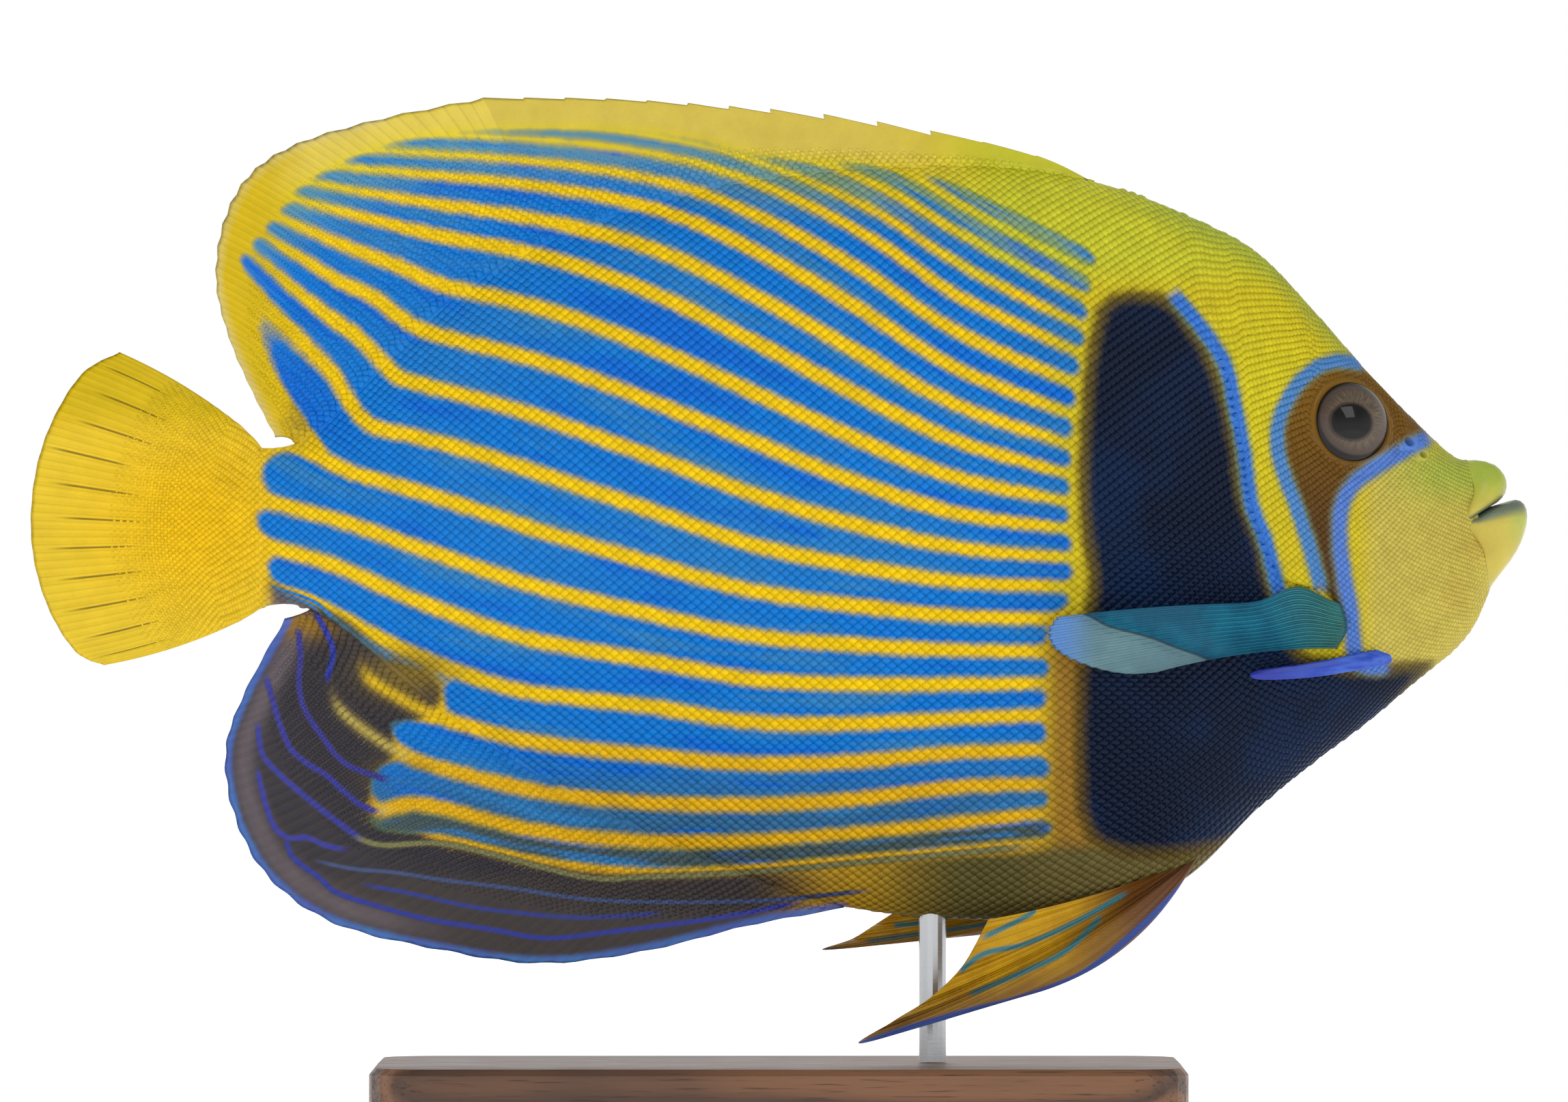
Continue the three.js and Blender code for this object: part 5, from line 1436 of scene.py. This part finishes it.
def web_finish(tree, place, rays):
    """The surface of a fin web: satin, with a fine stripe along each ray and its branches."""
    outward = value_of(tree, "outward")
    wave = off_middle(times(value_of(tree, "across"), rays))
    joints = off_middle(times(outward, RAY_JOINTS))
    relief = plus(times(wave, 1.6), times(ramp(joints, 0.1, 0.0), -0.25))
    relief = plus(relief, times(noise(place, 700, 3), 0.6))
    return wave, outward, relief, ramp(noise(place, 240), -0.3, 1.6)


pectoral_paint, tree, shader, place = material("pectoral_paint")
wave, outward, relief, roughness = web_finish(tree, place, 2.0 * (PECTORAL_RAYS - 1))
cloud = noise(place, 90, 3)
teal = blend(ramp(cloud, 0.35, 0.7), (0, 84, 114), (6, 112, 138))
teal = blend(times(ramp(wave, 0.14, 0.02), 0.8), teal, (2, 44, 72))
teal = blend(times(ramp(outward, 0.3, 0.02), ramp(wave, 0.1, 0.45), 0.75), teal, (84, 140, 84))
pale = blend(ramp(cloud, 0.3, 0.75), (92, 128, 138), (110, 146, 152))
pale = blend(ramp(parts_of(tree, place)["X"], 0.0745, 0.0650), pale, (92, 140, 204))
pale = blend(times(ramp(wave, 0.1, 0.0), 0.75), pale, (56, 76, 84))
fold = value_of(tree, "fold")
colour = blend(ramp(fold, 0.4, -0.4), teal, pale)
# A dark line along the fold is painted shade in the crease of the web
colour = blend(times(ramp(calc("ABSOLUTE", fold), 0.5, 0.1), 0.7), colour, (8, 34, 48))
finish(shader, colour, roughness, relief, **WEB_GLOSS)

pelvic_paint, tree, shader, place = material("pelvic_paint")
wave, outward, relief, roughness = web_finish(tree, place, 4.0 * (PELVIC_RAYS - 1))
colour = blend(ramp(noise(place, 120, 3), 0.35, 0.7), (206, 158, 14), (186, 138, 12))
colour = blend(ramp(outward, 0.6, 0.16), colour, (108, 66, 18))
colour = blend(times(ramp(wave, 0.14, 0.0), 0.4), colour, (132, 84, 8))
streaks = (parts_of(tree, value_of(tree, "streak_" + key, "Vector")) for key in ("away", "strength"))
for gap, strength in zip(*streaks):
    colour = blend(times(ramp(calc("ABSOLUTE", gap), 1.6, 0.4), strength, 0.95), colour, (46, 124, 136))
front = value_of(tree, "front")
colour = blend(times(ramp(front, 6.5, 1.0), 0.6), colour, (104, 74, 62))
colour = blend(ramp(front, 1.2, 0.5), colour, (60, 82, 150))
finish(shader, colour, roughness, relief, **WEB_GLOSS)

PECTORAL_CELLS, PELVIC_CELLS = (193, 90), (121, 110)
right_pelvic = pelvic(RIGHT_PELVIC_ROOT, RIGHT_PELVIC_EDGE, -5.6)
left_pelvic = pelvic(LEFT_PELVIC_ROOT, LEFT_PELVIC_EDGE, -3.0)
right_marks = pelvic_marks(PELVIC_LINES, PELVIC_FRONT)
left_marks = pelvic_marks(FAR_PELVIC_LINES, FAR_PELVIC_FRONT)
for name, shape, cells, side, marks, paint in (
    ("pectoral_web_right", pectoral, PECTORAL_CELLS, -1, pectoral_marks, pectoral_paint),
    ("pectoral_web_left", pectoral, PECTORAL_CELLS, 1, pectoral_marks, pectoral_paint),
    ("pelvic_web_right", right_pelvic, PELVIC_CELLS, -1, right_marks, pelvic_paint),
    ("pelvic_web_left", left_pelvic, PELVIC_CELLS, 1, left_marks, pelvic_paint),
):
    web = leaf(name, shape, cells, side, marks, paint)
    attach(web, "root")
    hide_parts(name.replace("web", "fin"))

# The cheek spines: one long blue spine at the lower corner of each gill cover, grooved along its length.
SPINE_PATH = [(146, 6.8, -28.8), (136, 13.6, -30.9), (123, 17.8, -33.1), (109.7, 20.6, -34.2)]
SPINE_ROOT, SPINE_TIP = 2.5, 1.25

spine_paint, tree, shader, place = material("spine_paint")
groove = noise(stretched(place, 60, 500, 900), 1.0, 3)
blue = blend(ramp(groove, 0.3, 0.7), (26, 62, 172), (58, 98, 196))
blue = blend(ramp(parts_of(tree, place)["X"], 0.112, 0.1325), (40, 54, 160), blue)
finish(shader, blue, ramp(groove, -0.8, 2.2), groove,
       strength=0.35, depth=0.0005, specular=0.3, coat=0.1, coat_roughness=0.2)

for word, side in (("right", -1), ("left", 1)):
    made = bmesh.new()
    bmesh.ops.create_cone(made, cap_ends=True, cap_tris=False, segments=32, radius1=1, radius2=1, depth=1)
    long_edges = [edge for edge in made.edges if abs(edge.verts[0].co.z - edge.verts[1].co.z) > 0.5]
    bmesh.ops.subdivide_edges(made, edges=long_edges, cuts=47, use_grid_fill=True)
    for vert in made.verts:
        t = vert.co.z + 0.5
        middle = through(SPINE_PATH, np.array(t))
        radius = SPINE_TIP + (SPINE_ROOT - SPINE_TIP) * (1 - t) ** 0.8
        radius *= math.sqrt(max(0.004, (1 - t ** 14) * (1 - (1 - t) ** 7)))
        angle = math.atan2(vert.co.y, vert.co.x)
        ring = radius * (1 + 0.05 * math.cos(6 * angle)) * math.hypot(vert.co.x, vert.co.y)
        vert.co = (
            middle[0] * MM, side * (middle[1] + ring * math.cos(angle) * 0.85) * MM,
            (MIDLINE + middle[2] + ring * math.sin(angle)) * MM,
        )
    bmesh.ops.recalc_face_normals(made, faces=made.faces)
    thorn = finished(made, f"cheek_thorn_{word}", spine_paint)
    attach(thorn, "root")
    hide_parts(f"cheek_spine_{word}")

# The stand: a board of oiled walnut with its grain along the fish, and a turned and brushed steel rod
# pressed into it. Both keep their solids from the frame and take these finishes.
walnut, tree, shader, place = material("oiled_walnut")
bend = noise(stretched(place, 9, 22, 22), 1.0, 3)
grain = noise(stretched(place, 6, 95, 95, shift=(0.3, 0.02, 0.1)), 0.32, 2)
figure = off_middle(plus(times(grain, 7.0), bend))
pores = noise(stretched(place, 60, 1500, 1500), 1.0, 2)
wood = blend(ramp(figure, 0.0, 0.5), (70, 42, 24), (122, 80, 48))
wood = blend(times(ramp(pores, 0.42, 0.3), 0.7), wood, (38, 22, 12))
finish(shader, wood, ramp(pores, 1.2, -0.2), pores,
       strength=0.25, depth=0.0003, coat=0.2, coat_roughness=0.3)

steel, tree, shader, place = material("brushed_steel")
turned = noise(stretched(place, 2, 2, 5200), 1.0, 2)
grey = blend(turned, (168, 170, 174), (206, 208, 210))
finish(shader, grey, ramp(turned, -0.7, 2.4), turned, strength=0.15, depth=0.0001)
shader.inputs["Metallic"].default_value = 1

for node_name, finish_of in (("stand_base", walnut), ("stand_rod", steel)):
    bpy.data.objects[node_name].material_slots[0].material = finish_of

# Floor: one wide white sheet, which runs on to the white of the room.
floor_paint, tree, shader, _ = material("floor_paint")
shader.inputs["Base Color"].default_value = (0.93, 0.93, 0.93, 1)
shader.inputs["Roughness"].default_value = 0.9
shader.inputs["Emission Color"].default_value = (1, 1, 1, 1)
shader.inputs["Emission Strength"].default_value = 0.62
floor_mesh = bmesh.new()
below_base = Matrix.Translation((0, 0, -0.3 * MM))
bmesh.ops.create_circle(floor_mesh, cap_ends=True, segments=96, radius=12, matrix=below_base)
finished(floor_mesh, "floor", floor_paint)

# Light: a white room that is dimmer overhead, a large soft lamp above and in front of the fish and two
# weaker ones beside and behind it.
for name, place, aim, size, power in (
    ("key_lamp", (0.7, -1.5, 1.9), (0, 0, 0.14), 1.2, 12),
    ("fill_lamp", (-1.3, -1.4, 0.8), (0, 0, 0.14), 1.6, 2),
    ("rear_lamp", (-0.4, 1.6, 1.6), (0, 0, 0.2), 1.2, 9),
):
    lamp_data = bpy.data.lights.new(name, "AREA")
    lamp_data.size = size
    lamp_data.energy = power
    lamp = placed(name, lamp_data)
    lamp.location = place
    lamp.rotation_euler = (Vector(aim) - Vector(place)).to_track_quat("-Z", "Y").to_euler()
world = bpy.data.worlds.new("room")
world.use_nodes = True
tree = world.node_tree
height = parts_of(tree, node(tree, "TexCoord").outputs["Generated"])["Z"]
background = tree.nodes["Background"]
tree.links.new(less(1.0, times(ramp(height, 0.1, 0.7), 0.62)), background.inputs["Strength"])
background.inputs["Color"].default_value = (1, 1, 1, 1)
bpy.context.scene.world = world
bpy.context.scene.view_settings.view_transform = "Standard"
